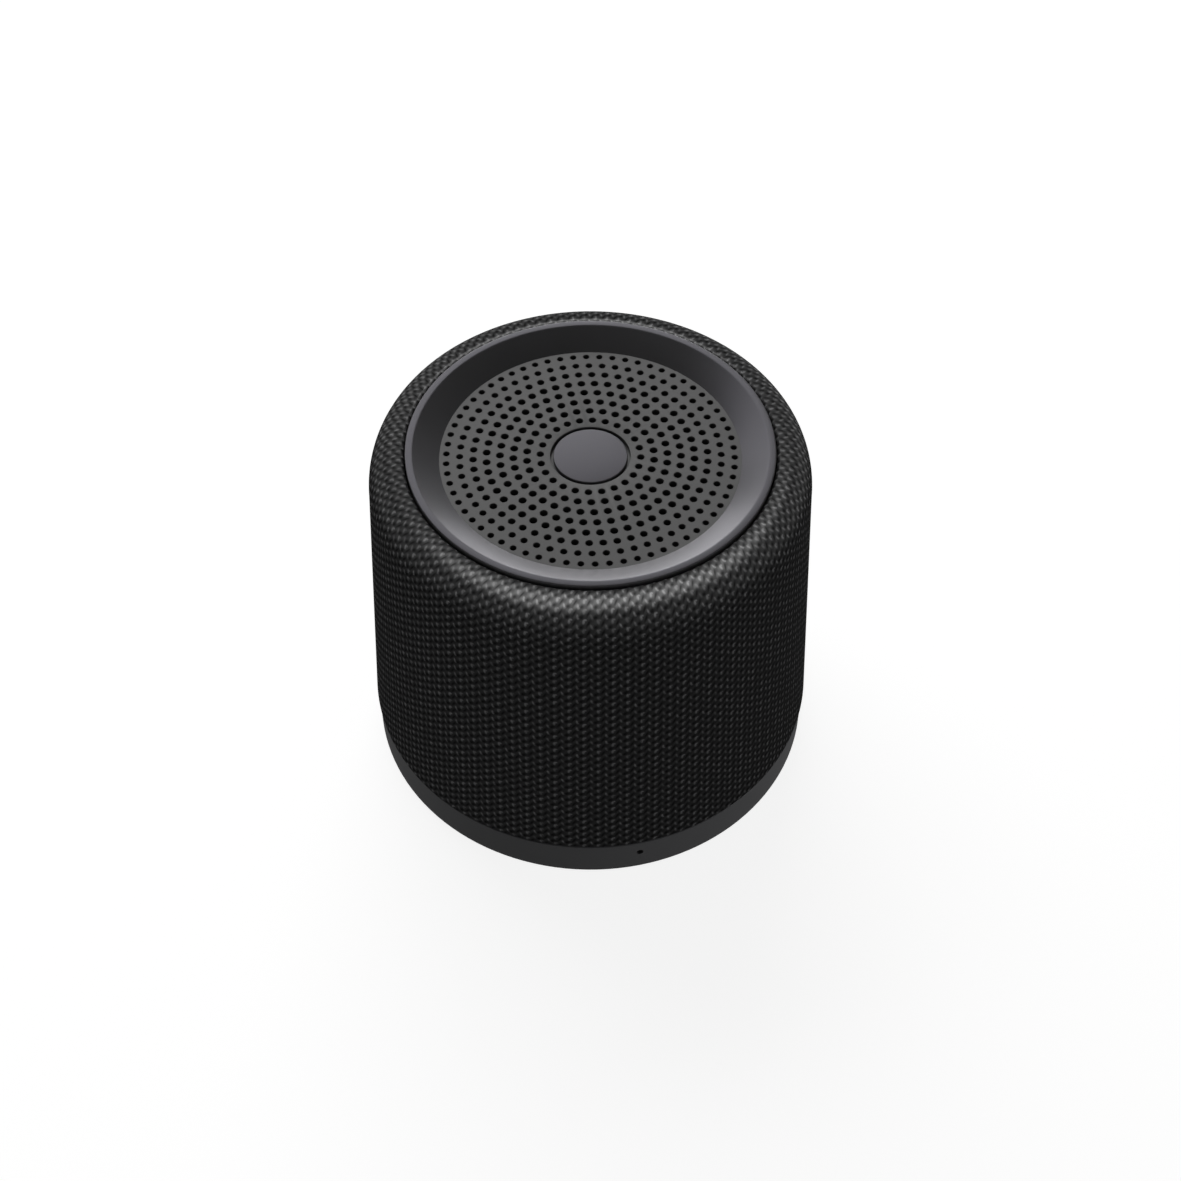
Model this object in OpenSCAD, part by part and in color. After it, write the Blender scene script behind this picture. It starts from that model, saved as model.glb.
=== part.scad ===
// Compact voice hub: a slightly conical speaker in a woven sleeve, with a dished
// top bezel, a perforated grille and a plain base band.
// Millimetres, +Z up, origin on the floor under the centre. The front, with the
// microphone hole, faces -Y. The charging socket and the buttons are at the back.

/* [Overall] */
// Height of the whole part, from the floor to the lip
body_h = 71; // [69:0.5:80]

/* [Grille] */
// Radius of the innermost ring of holes
ring_first_r = 8.72; // [8:0.02:9.6]
// Radial step from one ring of holes to the next
ring_pitch = 2.326; // [2.1:0.002:2.6]
// Number of rings of holes
ring_count = 8; // [7:1:9]
// Holes in the innermost ring
ring_first_n = 24; // [18:1:26]
// Holes that each further ring adds
ring_step_n = 6; // [4:1:7]
// Diameter of the holes in the middle rings
hole_d = 1.32; // [1:0.02:1.5]
// How much narrower the holes of the outermost ring are
hole_fade = 0.26; // [0:0.02:0.4]
// Thickness of the grille plate
grille_t = 1.2; // [1:0.1:2]
// Plain rim between the outermost holes and the dish
grille_margin = 1.2; // [0.9:0.1:2]
// Thickness of the cloth behind the grille
cloth_t = 0.3; // [0.2:0.1:0.6]
// Diameter of the disc in the middle of the grille
badge_d = 12.9; // [10:0.1:14]
// Width of the groove around the disc
badge_groove = 0.5; // [0.3:0.1:0.8]
// Thickness of the disc
badge_t = 0.8; // [0.4:0.1:0.9]

/* [Top bezel] */
// Horizontal run of the sloping dish
dish_run = 4.58; // [3.6:0.02:6]
// Height from the grille up to the lip
dish_rise = 2.5; // [1.5:0.1:4]
// Width of the flat lip
lip_w = 1.22; // [0.9:0.02:2]
// Rounding of the lip's outer edge
lip_edge = 0.2; // [0.1:0.05:0.8]
// Thickness of the skirt that stands on the baffle
skirt_t = 1.7; // [1.3:0.1:2.2]
// Width of the ledge that the grille plate is glued under
seat_w = 1.4; // [1:0.1:2]
// Width of each snap hook
hook_w = 6; // [4:0.5:9]
// Thickness of each snap hook
hook_t = 1.2; // [0.9:0.1:1.5]
// How far each snap hook's barb stands out
hook_barb = 0.7; // [0.4:0.1:1]

/* [Fabric sleeve] */
// Thickness of the woven fabric
fabric_t = 0.8; // [0.5:0.1:1.2]
// Open gap between the lip and the fabric
tuck_gap = 0.2; // [0.15:0.05:0.8]
// Depth of the fabric's tucked edge
tuck_l = 4; // [2.5:0.5:5]
// Horizontal run of the rounded shoulder
shoulder_run = 5.45; // [4:0.05:8]
// Height of the rounded shoulder
shoulder_h = 7.5; // [5:0.1:10]
// How far the fabric's crest lies below the lip
crest_drop = 0.3; // [0.1:0.1:1]
// Slope of the side wall from the vertical, in degrees
draft = 3.14; // [0.5:0.02:5]

/* [Housing] */
// Wall thickness of the barrel
shell_t = 2.2; // [1.6:0.1:3]
// Thickness of the baffle that carries the driver
baffle_t = 3; // [2:0.1:4]
// Height of the screw bosses on the wall
boss_h = 14; // [10:0.5:20]

/* [Base] */
// Height of the base band
band_h = 7.9; // [7.4:0.1:9.5]
// Wall thickness of the base band
band_t = 2; // [1.5:0.1:2.6]
// How far the band stands back from the fabric above it
band_inset = 0.3; // [0:0.05:1]
// Rounding of the band's lower edge
band_edge = 0.5; // [0.2:0.1:1]
// Width of the band's inner ledge
ledge_w = 2; // [1.5:0.1:2.6]
// Thickness of the band's inner ledge
ledge_t = 1; // [0.7:0.1:1.3]
// Thickness of the base plate
plate_t = 2; // [1.8:0.1:3]
// How far the foot stands below the base plate
foot_proud = 0.8; // [0.5:0.1:1.5]
// Depth of the groove that holds the foot
foot_seat = 1.2; // [0.8:0.1:1.4]
// Width of the foot ring
foot_w = 4.5; // [3:0.1:7]

/* [Microphone] */
// Diameter of the sound hole in the band
mic_d = 1.3; // [0.7:0.05:1.6]
// Depth of the sound hole below the band's top edge
mic_drop = 3.1; // [2.4:0.1:3.4]
// Diameter of the microphone capsule
capsule_d = 3; // [2.6:0.1:3.6]
// Length of the microphone capsule
capsule_l = 1.5; // [1:0.1:2]
// Wall thickness of the rubber boot
boot_t = 0.4; // [0.3:0.05:0.5]

/* [Charging socket] */
// Outer width of the socket shell
usb_w = 8.94; // [8.5:0.02:9.6]
// Outer height of the socket shell
usb_h = 3.26; // [3.1:0.02:3.5]
// Length of the socket shell
usb_l = 7.35; // [6:0.05:9]
// Sheet thickness of the socket shell
usb_wall = 0.3; // [0.2:0.05:0.4]
// How far the socket's mouth lies inside the band's face
usb_recess = 0.6; // [0.2:0.1:1.2]
// Gap around the socket in the band's window
usb_gap = 0.3; // [0.2:0.05:0.5]
// Height of the socket above the base plate
usb_lift = 0.54; // [0.4:0.02:0.8]

/* [Buttons] */
// Width of each button
button_w = 6.4; // [5:0.1:8]
// Height of each button
button_h = 2.4; // [2:0.1:2.7]
// How far each button stands out of the band
button_proud = 0.5; // [0.3:0.1:1]
// Size of the raised mark on each button
mark_d = 1.5; // [1:0.1:1.8]
// Width of the marks' strokes
mark_w = 0.3; // [0.2:0.05:0.4]
// How far the marks stand out of the buttons
mark_t = 0.15; // [0.1:0.05:0.3]
// Travel of each button
button_travel = 0.4; // [0.2:0.05:0.5]
// Running gap around each button
button_gap = 0.3; // [0.2:0.05:0.4]
// Angle of the power button from the socket, in degrees
power_az = 30; // [22:1:38]
// Angle of the nearer volume button from the socket, in degrees
volume_az = 24; // [18:1:28]
// Angle between the two volume buttons, in degrees
volume_step = 17; // [15:1:20]

/* [Board] */
// Thickness of the main board
board_t = 1.2; // [0.8:0.1:1.8]
// Room for parts between the board and the cell's cradle
board_room = 4; // [3.4:0.1:7]
// Width of each tactile switch
switch_w = 4.4; // [4:0.1:5.5]
// Depth of each tactile switch
switch_l = 2.6; // [2.2:0.1:3.4]
// Side of the radio module
radio_w = 14; // [10:0.5:16]
// Side of the amplifier chip
chip_w = 5; // [3:0.5:7]
// Diameter of the capacitors
cap_d = 6.3; // [4:0.1:7]
// Height of the capacitors
cap_h = 7.5; // [5:0.1:10]
// Side of the inductors
coil_w = 5; // [3:0.5:6]
// Width of the lead connectors
plug_w = 6; // [5:0.1:7]

/* [Cell] */
// Diameter of the rechargeable cell
cell_d = 18.4; // [14:0.1:19]
// Length of the rechargeable cell
cell_l = 50; // [44:0.5:54]
// Wall thickness of the cradle
cradle_t = 1.5; // [1.2:0.1:2.2]
// Thickness of the cradle's ears
ear_t = 2; // [1.5:0.1:3]
// Width of the strap over the cell
strap_w = 12; // [8:0.5:20]
// Thickness of the strap over the cell
strap_t = 0.8; // [0.5:0.1:1.2]
// Diameter of each insulated lead
lead_d = 1.2; // [0.8:0.1:1.6]

/* [Driver] */
// Thickness of the yoke's plate
yoke_t = 2.5; // [2:0.1:4]
// Thickness of the magnet ring
magnet_t = 4.5; // [4:0.1:7]
// Diameter of the magnet ring
magnet_d = 34; // [31:0.1:36]
// Thickness of the front pole plate
pole_plate_t = 3; // [2:0.1:4]
// Sheet thickness of the basket
basket_t = 1; // [0.8:0.1:1.4]
// Share of the depth left for the driver that stays open above the cell
air_share = 0.23; // [0.15:0.01:0.4]
// Height of the spider's seat above the basket's floor
spider_h = 4.5; // [3.5:0.1:5.5]
// Width of the spider's seat
spider_seat = 2.5; // [2:0.1:3]
// Free room between the basket's flange and the grille cloth
cone_room = 2.8; // [2:0.1:4]
// Width of the flange that lies on the baffle
flange_w = 4.4; // [4.1:0.1:5]
// Gap between the flange and the bezel's skirt
flange_gap = 0.9; // [0.5:0.1:1.3]
// Thickness of the gasket under the flange
gasket_t = 1; // [0.6:0.1:1.6]
// Inner diameter of the voice coil
coil_d = 20; // [18:0.1:21]
// Running gap on each side of the voice coil
coil_gap = 0.35; // [0.25:0.05:0.5]
// Travel of the cone each way
cone_travel = 1.2; // [0.5:0.1:1.5]
// Thickness of the paper cone
cone_t = 0.5; // [0.4:0.05:0.8]
// Width of the surround's roll
surround_w = 4.2; // [3:0.1:5]
// Depth of the cone's edge below the flange
surround_drop = 2.5; // [1.8:0.1:3.2]

/* [Screws] */
// Diameter of the screws' shanks
screw_d = 2.2; // [1.8:0.1:2.4]
// Diameter of the screws' heads
head_d = 3.8; // [3.2:0.1:4]
// Height of the screws' heads
head_h = 1.4; // [1:0.1:1.8]
// Length of the base screws
base_screw_l = 12; // [10:0.5:14]
// Length of the driver and board screws
short_screw_l = 4; // [3.6:0.1:4.4]

/* [Hidden] */
$fn = 96;

// Glue line between curved faces, and clearance of a hand-assembled fit
glue = 0.1;
fit = 0.15;
// Overrun of a cutting tool past the face that it opens
over = 1;
// Segments of a curve drawn by a formula
arc_steps = 14;

// Heights of the base, the board and the cell, from the floor up
z_plate = foot_proud;
z_plate_top = z_plate + plate_t;
z_usb = z_plate_top + usb_lift;
z_port = z_usb + usb_h / 2;
z_board = z_usb + usb_h;
z_board_top = z_board + board_t;
z_cradle = z_board_top + board_room;
z_cell = z_cradle + cradle_t + glue + cell_d / 2;
z_strap_top = z_cell + cell_d / 2 + glue + strap_t;
z_ear_top = z_cradle + ear_t;

// Heights of the grille and the driver, from the lip down
z_top = body_h;
z_grille = z_top - dish_rise;
z_grille_low = z_grille - grille_t;
z_cloth = z_grille_low - cloth_t;
z_flange_top = z_cloth - cone_room;
z_flange = z_flange_top - basket_t;
z_baffle_top = z_flange - gasket_t;
z_baffle = z_baffle_top - baffle_t;
driver_room = z_flange_top - z_strap_top - yoke_t - magnet_t - pole_plate_t;
basket_h = (1 - air_share) * driver_room;
z_basket = z_flange_top - basket_h;
z_spider = z_basket + spider_h;
z_pole_plate = z_basket - pole_plate_t;
z_magnet = z_pole_plate - magnet_t;
z_yoke = z_magnet - yoke_t;

// Heights of the sleeve and the band
z_crest = z_top - crest_drop;
z_shoulder = z_crest - shoulder_h;
z_band_top = z_plate + band_h;
z_hem = z_band_top + fabric_t;
z_mic = z_band_top - mic_drop;

// Radii, from the grille outwards
r_last = ring_first_r + (ring_count - 1) * ring_pitch;
r_grille = r_last + grille_margin;
r_dish = r_grille + dish_run;
r_lip = r_dish + lip_w;
r_seat = r_grille + seat_w;
r_skirt = r_lip - skirt_t;
r_tuck = r_lip + tuck_gap;
roll_edge = 0.2;
roll = fabric_t + glue + roll_edge;
r_crest = r_tuck + roll;
r_shoulder = r_crest + shoulder_run;
z_roll = z_crest - roll;
z_tuck = z_roll - tuck_l;
r_base = r_skin(z_band_top);
r_band = r_base - band_inset;
r_band_in = r_band - band_t;
r_ledge = r_band_in - ledge_w;
r_board = r_ledge - fit;

// Screw posts of the base, in line with the bosses of the housing
post_r = 3.2;
post_grip = 5;
z_head_seat = z_cradle - post_grip;
post_ring = r_ledge - post_r - fit;
post_az = 60;
head_play = 0.4;
head_bore_r = head_d / 2 + head_play;
shank_bore_r = screw_d / 2 + fit;
pilot_r = screw_d / 2 - fit;
thread_gap = 0.05;
foot_margin = 1.2;
foot_r = post_ring - head_bore_r - foot_margin;

// Screws of the board: two beside the front, one before the socket
board_post_r = 2.2;
board_front_az = 27;
board_post_gap = 3;
board_front_r = post_ring - board_post_gap;
board_back_r = r_board - usb_l - board_post_gap;

// Driver, from the flange inwards
flange_r = r_skirt - flange_gap;
baffle_r = flange_r - flange_w;
baffle_play = 0.5;
wall_r = baffle_r - baffle_play;
driver_screw_r = flange_r - flange_w / 2;
magnet_r = magnet_d / 2;
magnet_step = 0.5;
floor_r = magnet_r + magnet_step;
seat_r = floor_r + spider_seat;
coil_r = coil_d / 2;
former_t = 0.25;
winding_t = 0.6;
pole_r = coil_r - coil_gap;
pole_hole_r = coil_r + winding_t + coil_gap;
roll_r = wall_r - basket_t;
cone_r = roll_r - surround_w;
z_edge = z_flange_top - surround_drop;
neck_lift = 2.2;
z_neck = z_spider + neck_lift;
neck_r = coil_r + former_t + glue;
dust_margin = 1.4;
dust_r = neck_r + dust_margin;
dust_h = 3.2;
spider_t = 0.4;
spider_swing = 0.5;
soft_t = 0.5;

// Cell, cradle and leads
cell_r = cell_d / 2;
trough_r = cell_r + glue + cradle_t;
trough_x = cell_l / 2 + glue + cradle_t;
rim_drop = 2;
z_rim = z_cell - rim_drop;
plug_l = 4.5;
plug_h = 5.5;
lead_pitch = 2.5;
speaker_bow = 3;
battery_bow = 4;
battery_exit = 3;
tab_w = 1.6;
tab_t = 0.5;
tab_l = 3;
terminal_y = floor_r + fit;
terminal_t = 2;
plug_clear = 3;
battery_plug_x = trough_x + plug_clear;

// Microphone boot, against the band's inner wall
boot_r = capsule_d / 2 + boot_t;
boot_front = chord(r_band_in, boot_r) - glue;
boot_back = boot_front - boot_t - capsule_l;

// Buttons, in a frame whose Y axis points out of the band
flange_over = 0.5;
flange_t = 0.7;
flange_x = button_w / 2 + flange_over;
button_back = chord(r_band_in, flange_x) - button_gap;
stem_w = 2.4;
stem_h = 1.6;
stem_l = 0.9;
stem_back = button_back - flange_t - stem_l;
plunger_w = 1.8;
plunger_h = 1.2;
plunger_out = 0.8;
plunger_in = 0.7;
switch_face = stem_back - plunger_out;

// Outer radius of the fabric at a height on the straight wall
function r_skin(z) = r_shoulder + (z_shoulder - z) * tan(draft);
// Inner radius of the barrel's wall at a height
function r_inside(z) = r_skin(z) - fabric_t - glue - shell_t;
// Distance from the axis to a chord of half-width x
function chord(r, x) = sqrt(r * r - x * x);
// Points of a quarter ellipse, from the first angle to the second
function arc(cx, cy, rx, ry, a0, a1) =
    [for (i = [0:arc_steps]) let (a = a0 + (a1 - a0) * i / arc_steps) [cx + rx * cos(a), cy + ry * sin(a)]];
function reversed(p) = [for (i = [len(p) - 1:-1:0]) p[i]];
function tail(p) = [for (i = [1:len(p) - 1]) p[i]];
// Outline of wall, shoulder and rolled-in edge, set in by d
function skin(d, z_low) = concat(
    [[r_skin(z_low) - d, z_low]],
    arc(r_crest, z_shoulder, shoulder_run - d, shoulder_h - d, 0, 90),
    tail(arc(r_crest, z_crest - roll, roll - d, roll - d, 90, 180)));
function hole_dia(k) =
    let (steps = max(k - (ring_count - 4), k == 0 ? 1 : 0)) hole_d - hole_fade * max(steps, 0) / 3;
// Height of the cone's back at a radius
function cone_z(r) = z_neck + (z_edge - z_neck) * pow((r - neck_r) / (cone_r - neck_r), 1.3);

module ring(r_out, r_in, z, h) {
    translate([0, 0, z]) difference() {
        cylinder(r = r_out, h = h);
        translate([0, 0, -over]) cylinder(r = r_in, h = h + 2 * over);
    }
}

// A pill outline, w wide and h high
module pill(w, h) {
    square([w - h, h], center = true);
    for (s = [-1, 1]) translate([s * (w - h) / 2, 0]) circle(d = h);
}

// Turns the +Y axis to an angle from the back, towards +X
module at_back(az) {
    rotate([0, 0, -az]) children();
}

// Draws an outline in X and Z and pushes it outwards along Y, from y0 to y1
module outward(y0, y1, z) {
    translate([0, y1, z]) rotate([90, 0, 0]) linear_extrude(y1 - y0) children();
}

module at_posts() {
    for (a = [post_az, 180 - post_az, 180 + post_az, 360 - post_az]) at_back(a)
        translate([0, post_ring, 0]) children();
}

module at_board_screws() {
    for (a = [180 - board_front_az, 180 + board_front_az]) at_back(a)
        translate([0, board_front_r, 0]) children();
    translate([0, board_back_r, 0]) children();
}

module at_driver_screws() {
    for (a = [0:90:270]) rotate([0, 0, a]) translate([driver_screw_r, 0, 0]) children();
}

module screw(length) {
    translate([0, 0, -length]) cylinder(r = pilot_r - thread_gap, h = length, $fn = 24);
    difference() {
        cylinder(d = head_d, h = head_h, $fn = 32);
        for (a = [0, 90]) rotate([0, 0, a]) translate([-head_d / 4, -head_d / 16, head_h / 2])
            cube([head_d / 2, head_d / 8, head_h]);
    }
}

// Lead from p to q, bowed sideways by the vector bow
function lead_point(p, q, bow, t) = p + (q - p) * t + bow * sin(180 * t);
function unit(v) = v / norm(v);

module lead(p, q, bow) {
    rings = 14;
    sides = 8;
    points = [for (i = [0:rings]) let (
        t = i / rings,
        tangent = unit((q - p) / 180 + bow * cos(180 * t) * PI / 180),
        across = unit(cross(tangent, cross(bow, q - p))),
        up = cross(tangent, across))
        for (j = [0:sides - 1]) lead_point(p, q, bow, t)
            + lead_d / 2 * (across * cos(360 * j / sides) + up * sin(360 * j / sides))];
    faces = concat(
        [[for (j = [sides - 1:-1:0]) j]],
        [for (i = [0:rings - 1]) for (j = [0:sides - 1]) let (k = (j + 1) % sides)
            [i * sides + j, i * sides + k, (i + 1) * sides + k, (i + 1) * sides + j]],
        [[for (j = [0:sides - 1]) rings * sides + j]]);
    polyhedron(points, [for (f = faces) reversed(f)]);
}

// Woven sleeve: wall, shoulder, tucked upper edge and turned-in lower hem
module fabric_sleeve() {
    hem_r = r_inside(z_hem);
    color("#2b2b2d") rotate_extrude() polygon(concat(
        skin(0, z_band_top),
        [[r_tuck, z_tuck], [r_tuck + fabric_t, z_tuck]],
        reversed(skin(fabric_t, z_hem)),
        [[hem_r, z_hem], [hem_r, z_band_top]]));
}

// Slot in the baffle for one snap hook
module hook_slot() {
    flex = hook_barb + fit;
    translate([r_lip - hook_t - flex, -hook_w / 2 - fit, z_baffle - over])
        cube([hook_t + flex + fit, hook_w + 2 * fit, baffle_t + 2 * over]);
}

// Barrel with its shoulder, the baffle shelf and the bosses for the base screws
module inner_housing() {
    skin_d = fabric_t + glue;
    boss_top = z_ear_top + boss_h;
    web_r = r_inside(boss_top) + shell_t / 2;
    color("#1d1d1f") difference() {
        union() {
            rotate_extrude() polygon(concat(
                skin(skin_d, z_hem),
                [[r_tuck + skin_d, z_baffle_top], [baffle_r, z_baffle_top], [baffle_r, z_baffle],
                    [r_inside(z_baffle), z_baffle], [r_inside(z_hem), z_hem]]));
            at_posts() translate([0, 0, z_ear_top]) {
                cylinder(r = post_r, h = boss_h);
                translate([-shell_t / 2, 0, 0]) cube([shell_t, web_r - post_ring, boss_h]);
            }
        }
        at_posts() translate([0, 0, z_ear_top - over])
            cylinder(r = pilot_r, h = base_screw_l - post_grip + over, $fn = 24);
        at_driver_screws() translate([0, 0, z_baffle - over])
            cylinder(r = pilot_r, h = baffle_t + 2 * over, $fn = 24);
        for (a = [45:90:315]) rotate([0, 0, a]) hook_slot();
    }
}

// Dished ring with its lip, and a skirt with snap hooks that stands on the baffle
module top_bezel() {
    hook_low = z_baffle - fit - 2 * hook_barb;
    color("#57585c") {
        rotate_extrude() polygon(concat(
            [[r_grille, z_grille], [r_seat, z_grille], [r_seat, z_grille_low], [r_skirt, z_grille_low],
                [r_skirt, z_baffle_top], [r_lip, z_baffle_top]],
            arc(r_lip - lip_edge, z_top - lip_edge, lip_edge, lip_edge, 0, 90),
            [[r_dish, z_top]]));
        for (a = [45:90:315]) rotate([0, 0, a]) intersection() {
            rotate_extrude() polygon([
                [r_lip - hook_t, z_baffle_top + over], [r_lip - hook_t, hook_low], [r_lip, hook_low],
                [r_lip + hook_barb, z_baffle - fit], [r_lip, z_baffle - fit],
                [r_lip, z_baffle_top + over]]);
            translate([0, -hook_w / 2, hook_low - over])
                cube([r_band, hook_w, z_baffle_top - hook_low + 2 * over]);
        }
    }
}

// Flat plate with rings of round holes and a recess for the middle disc
module grille_plate() {
    color("#57585c") difference() {
        translate([0, 0, z_grille_low]) cylinder(r = r_seat - glue, h = grille_t);
        translate([0, 0, z_grille - badge_t]) cylinder(r = badge_d / 2 + badge_groove, h = badge_t + over);
        for (k = [0:ring_count - 1]) let (n = ring_first_n + k * ring_step_n)
            for (i = [0:n - 1]) rotate([0, 0, 360 * i / n])
                translate([0, -ring_first_r - k * ring_pitch, z_grille_low - over])
                    cylinder(d = hole_dia(k), h = grille_t + 2 * over, $fn = 16);
    }
}

module grille_cloth() {
    color("#141414") translate([0, 0, z_cloth]) cylinder(r = r_last + hole_d, h = cloth_t);
}

module badge_disc() {
    color("#58595d") translate([0, 0, z_grille - badge_t]) cylinder(d = badge_d, h = badge_t);
}

// Shape of a button's face, of its inner flange, or of either with a gap around
module button_outline(grow) {
    pill(button_w + 2 * grow, button_h + 2 * grow);
}

module at_buttons() {
    for (a = [-power_az, volume_az, volume_az + volume_step]) at_back(a) children();
}

// Band with the sound hole in front, and the windows of socket and buttons at the back
module base_band() {
    top_edge = band_edge / 2;
    z_ledge_top = z_plate_top + ledge_t;
    color("#38393b") difference() {
        rotate_extrude() polygon(concat(
            [[r_band_in, z_plate]],
            arc(r_band - band_edge, z_plate + band_edge, band_edge, band_edge, -90, 0),
            [[r_band, z_band_top - top_edge], [r_band - top_edge, z_band_top], [r_band_in, z_band_top],
                [r_band_in, z_ledge_top], [r_ledge, z_ledge_top], [r_ledge, z_plate_top],
                [r_band_in, z_plate_top]]));
        at_back(180) {
            outward(r_ledge, r_band + over, z_mic) circle(d = mic_d, $fn = 24);
            ledge_relief(2 * boot_r + 2 * fit);
        }
        outward(r_ledge, r_band + over, z_port) pill(usb_w + 2 * usb_gap, usb_h + 2 * usb_gap);
        ledge_relief(usb_w + 2 * usb_gap);
        at_buttons() {
            outward(r_ledge, r_band + button_proud + over, z_port) button_outline(button_gap);
            ledge_relief(2 * flange_x + 2 * button_gap);
        }
    }
}

// Opens the band's ledge over a width, a little deeper than the wall's inner face
module ledge_relief(w) {
    translate([-w / 2, r_ledge - over, z_plate_top - fit]) cube([w, ledge_w + fit + over, ledge_t + 2 * fit]);
}

// Floor plate with the foot's groove, the screw posts and the board's posts
module base_plate() {
    post_root = (plate_t - foot_seat) / 2;
    color("#262628") difference() {
        union() {
            translate([0, 0, z_plate]) cylinder(r = r_band_in - fit, h = plate_t);
            at_posts() translate([0, 0, z_plate]) cylinder(r = post_r, h = z_cradle - z_plate);
            at_board_screws() translate([0, 0, z_plate_top - post_root])
                cylinder(r = board_post_r, h = z_board - z_plate_top + post_root);
        }
        at_posts() {
            translate([0, 0, z_plate - over])
                cylinder(r = head_bore_r, h = z_head_seat - z_plate + over, $fn = 32);
            translate([0, 0, z_plate]) cylinder(r = shank_bore_r, h = z_cradle, $fn = 24);
        }
        at_board_screws() translate([0, 0, z_board_top - short_screw_l - fit])
            cylinder(r = pilot_r, h = short_screw_l + over, $fn = 24);
        ring(foot_r + fit, foot_r - foot_w - fit, z_plate - over, foot_seat + over);
    }
}

module foot_ring() {
    foot_edge = 0.3;
    foot_in = foot_r - foot_w;
    z_foot_top = z_plate + foot_seat;
    color("#1a1a1a") rotate_extrude() polygon([
        [foot_in + foot_edge, 0], [foot_r - foot_edge, 0], [foot_r, foot_edge], [foot_r, z_foot_top],
        [foot_in, z_foot_top], [foot_in, foot_edge]]);
}

module base_screws() {
    color("#8c8c8c") at_posts() translate([0, 0, z_head_seat]) rotate([180, 0, 0]) screw(base_screw_l);
}

// Pressed frame of the driver: flange, windowed cone, spider seat and floor
module driver_basket() {
    windows = 6;
    window_half = 19;
    sill = 1.2;
    color("#4a4b4d") difference() {
        rotate_extrude() polygon([
            [flange_r, z_flange_top], [flange_r, z_flange], [wall_r, z_flange],
            [seat_r, z_spider - basket_t], [floor_r, z_spider - basket_t], [floor_r, z_basket],
            [pole_hole_r + fit, z_basket], [pole_hole_r + fit, z_basket + basket_t],
            [floor_r - basket_t, z_basket + basket_t], [floor_r - basket_t, z_spider],
            [seat_r - basket_t, z_spider], [wall_r - basket_t, z_flange],
            [wall_r - basket_t, z_flange_top]]);
        at_driver_screws() translate([0, 0, z_flange - over])
            cylinder(r = shank_bore_r, h = basket_t + 2 * over, $fn = 24);
        for (i = [0:windows - 1]) rotate([0, 0, (i + 0.5) * 360 / windows])
            translate([0, 0, z_spider + sill]) linear_extrude(z_flange - z_spider - 2 * sill) polygon([
                [floor_r * cos(window_half), -floor_r * sin(window_half)],
                [flange_r * cos(window_half), -flange_r * sin(window_half)],
                [flange_r * cos(window_half), flange_r * sin(window_half)],
                [floor_r * cos(window_half), floor_r * sin(window_half)]]);
    }
}

module driver_gasket() {
    color("#202020") difference() {
        ring(flange_r - fit, baffle_r + fit, z_baffle_top, gasket_t);
        at_driver_screws() translate([0, 0, z_baffle_top - over])
            cylinder(r = shank_bore_r, h = gasket_t + 2 * over, $fn = 24);
    }
}

module driver_screws() {
    color("#8c8c8c") at_driver_screws() translate([0, 0, z_flange_top]) screw(short_screw_l);
}

// Rubber roll between the flange and the cone's edge
module driver_surround() {
    land_r = driver_screw_r - head_d / 2 - fit;
    bulge = 1.9;
    inner_r = cone_r + glue;
    mid = [for (i = [0:arc_steps]) let (u = i / arc_steps)
        [roll_r + (inner_r - roll_r) * u, z_flange_top + (z_edge - z_flange_top) * u - bulge * sin(180 * u)]];
    color("#232323") rotate_extrude() polygon(concat(
        [[land_r, z_flange_top]], mid,
        reversed([for (p = mid) [p[0], p[1] + soft_t]]), [[land_r, z_flange_top + soft_t]]));
}

// Paper cone with a curved flare
module driver_cone() {
    back = [for (i = [0:arc_steps]) let (r = neck_r + (cone_r - neck_r) * i / arc_steps) [r, cone_z(r)]];
    color("#2e2e2e") rotate_extrude() polygon(concat(back, reversed([for (p = back) [p[0], p[1] + cone_t]])));
}

module dust_cap() {
    z = cone_z(dust_r) + cone_t + glue;
    color("#262626") rotate_extrude() polygon(concat(
        arc(0, z, dust_r, dust_h, 0, 90), arc(0, z, dust_r - cone_t, dust_h - cone_t, 90, 0)));
}

// Paper former with the winding in the magnet's gap
module voice_coil() {
    z_mid = z_pole_plate + pole_plate_t / 2;
    half = pole_plate_t / 2 + cone_travel;
    color("#a5632a") rotate_extrude() polygon([
        [coil_r, z_mid - half], [coil_r + winding_t, z_mid - half], [coil_r + winding_t, z_mid + half],
        [coil_r + former_t, z_mid + half], [coil_r + former_t, z_neck + cone_t], [coil_r, z_neck + cone_t]]);
}

// Corrugated disc that centres the voice coil
module spider() {
    waves = 3;
    start = coil_r + former_t + glue;
    stop = floor_r - basket_t;
    mid = [for (i = [0:2 * arc_steps]) let (u = i / (2 * arc_steps))
        [start + (stop - start) * u, z_spider + spider_swing * (1 - cos(360 * waves * u))]];
    color("#b98f3c") rotate_extrude() polygon(concat(
        mid, [[seat_r - basket_t - fit, z_spider], [seat_r - basket_t - fit, z_spider + spider_t]],
        reversed([for (p = mid) [p[0], p[1] + spider_t]])));
}

module pole_plate() {
    color("#b0b3b5") ring(magnet_r - magnet_step, pole_hole_r, z_pole_plate, pole_plate_t);
}

module driver_magnet() {
    magnet_clear = 1.5;
    color("#3a3a3c") ring(magnet_r, pole_hole_r + magnet_clear, z_magnet, magnet_t);
}

// Back plate with the centre pole and its vent
module driver_yoke() {
    vent_r = 2;
    color("#b0b3b5") difference() {
        union() {
            translate([0, 0, z_yoke]) cylinder(r = magnet_r - magnet_step, h = yoke_t);
            translate([0, 0, z_yoke]) cylinder(r = pole_r, h = z_basket - z_yoke);
        }
        translate([0, 0, z_yoke - over]) cylinder(r = vent_r, h = z_basket - z_yoke + 2 * over, $fn = 32);
    }
}

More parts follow.
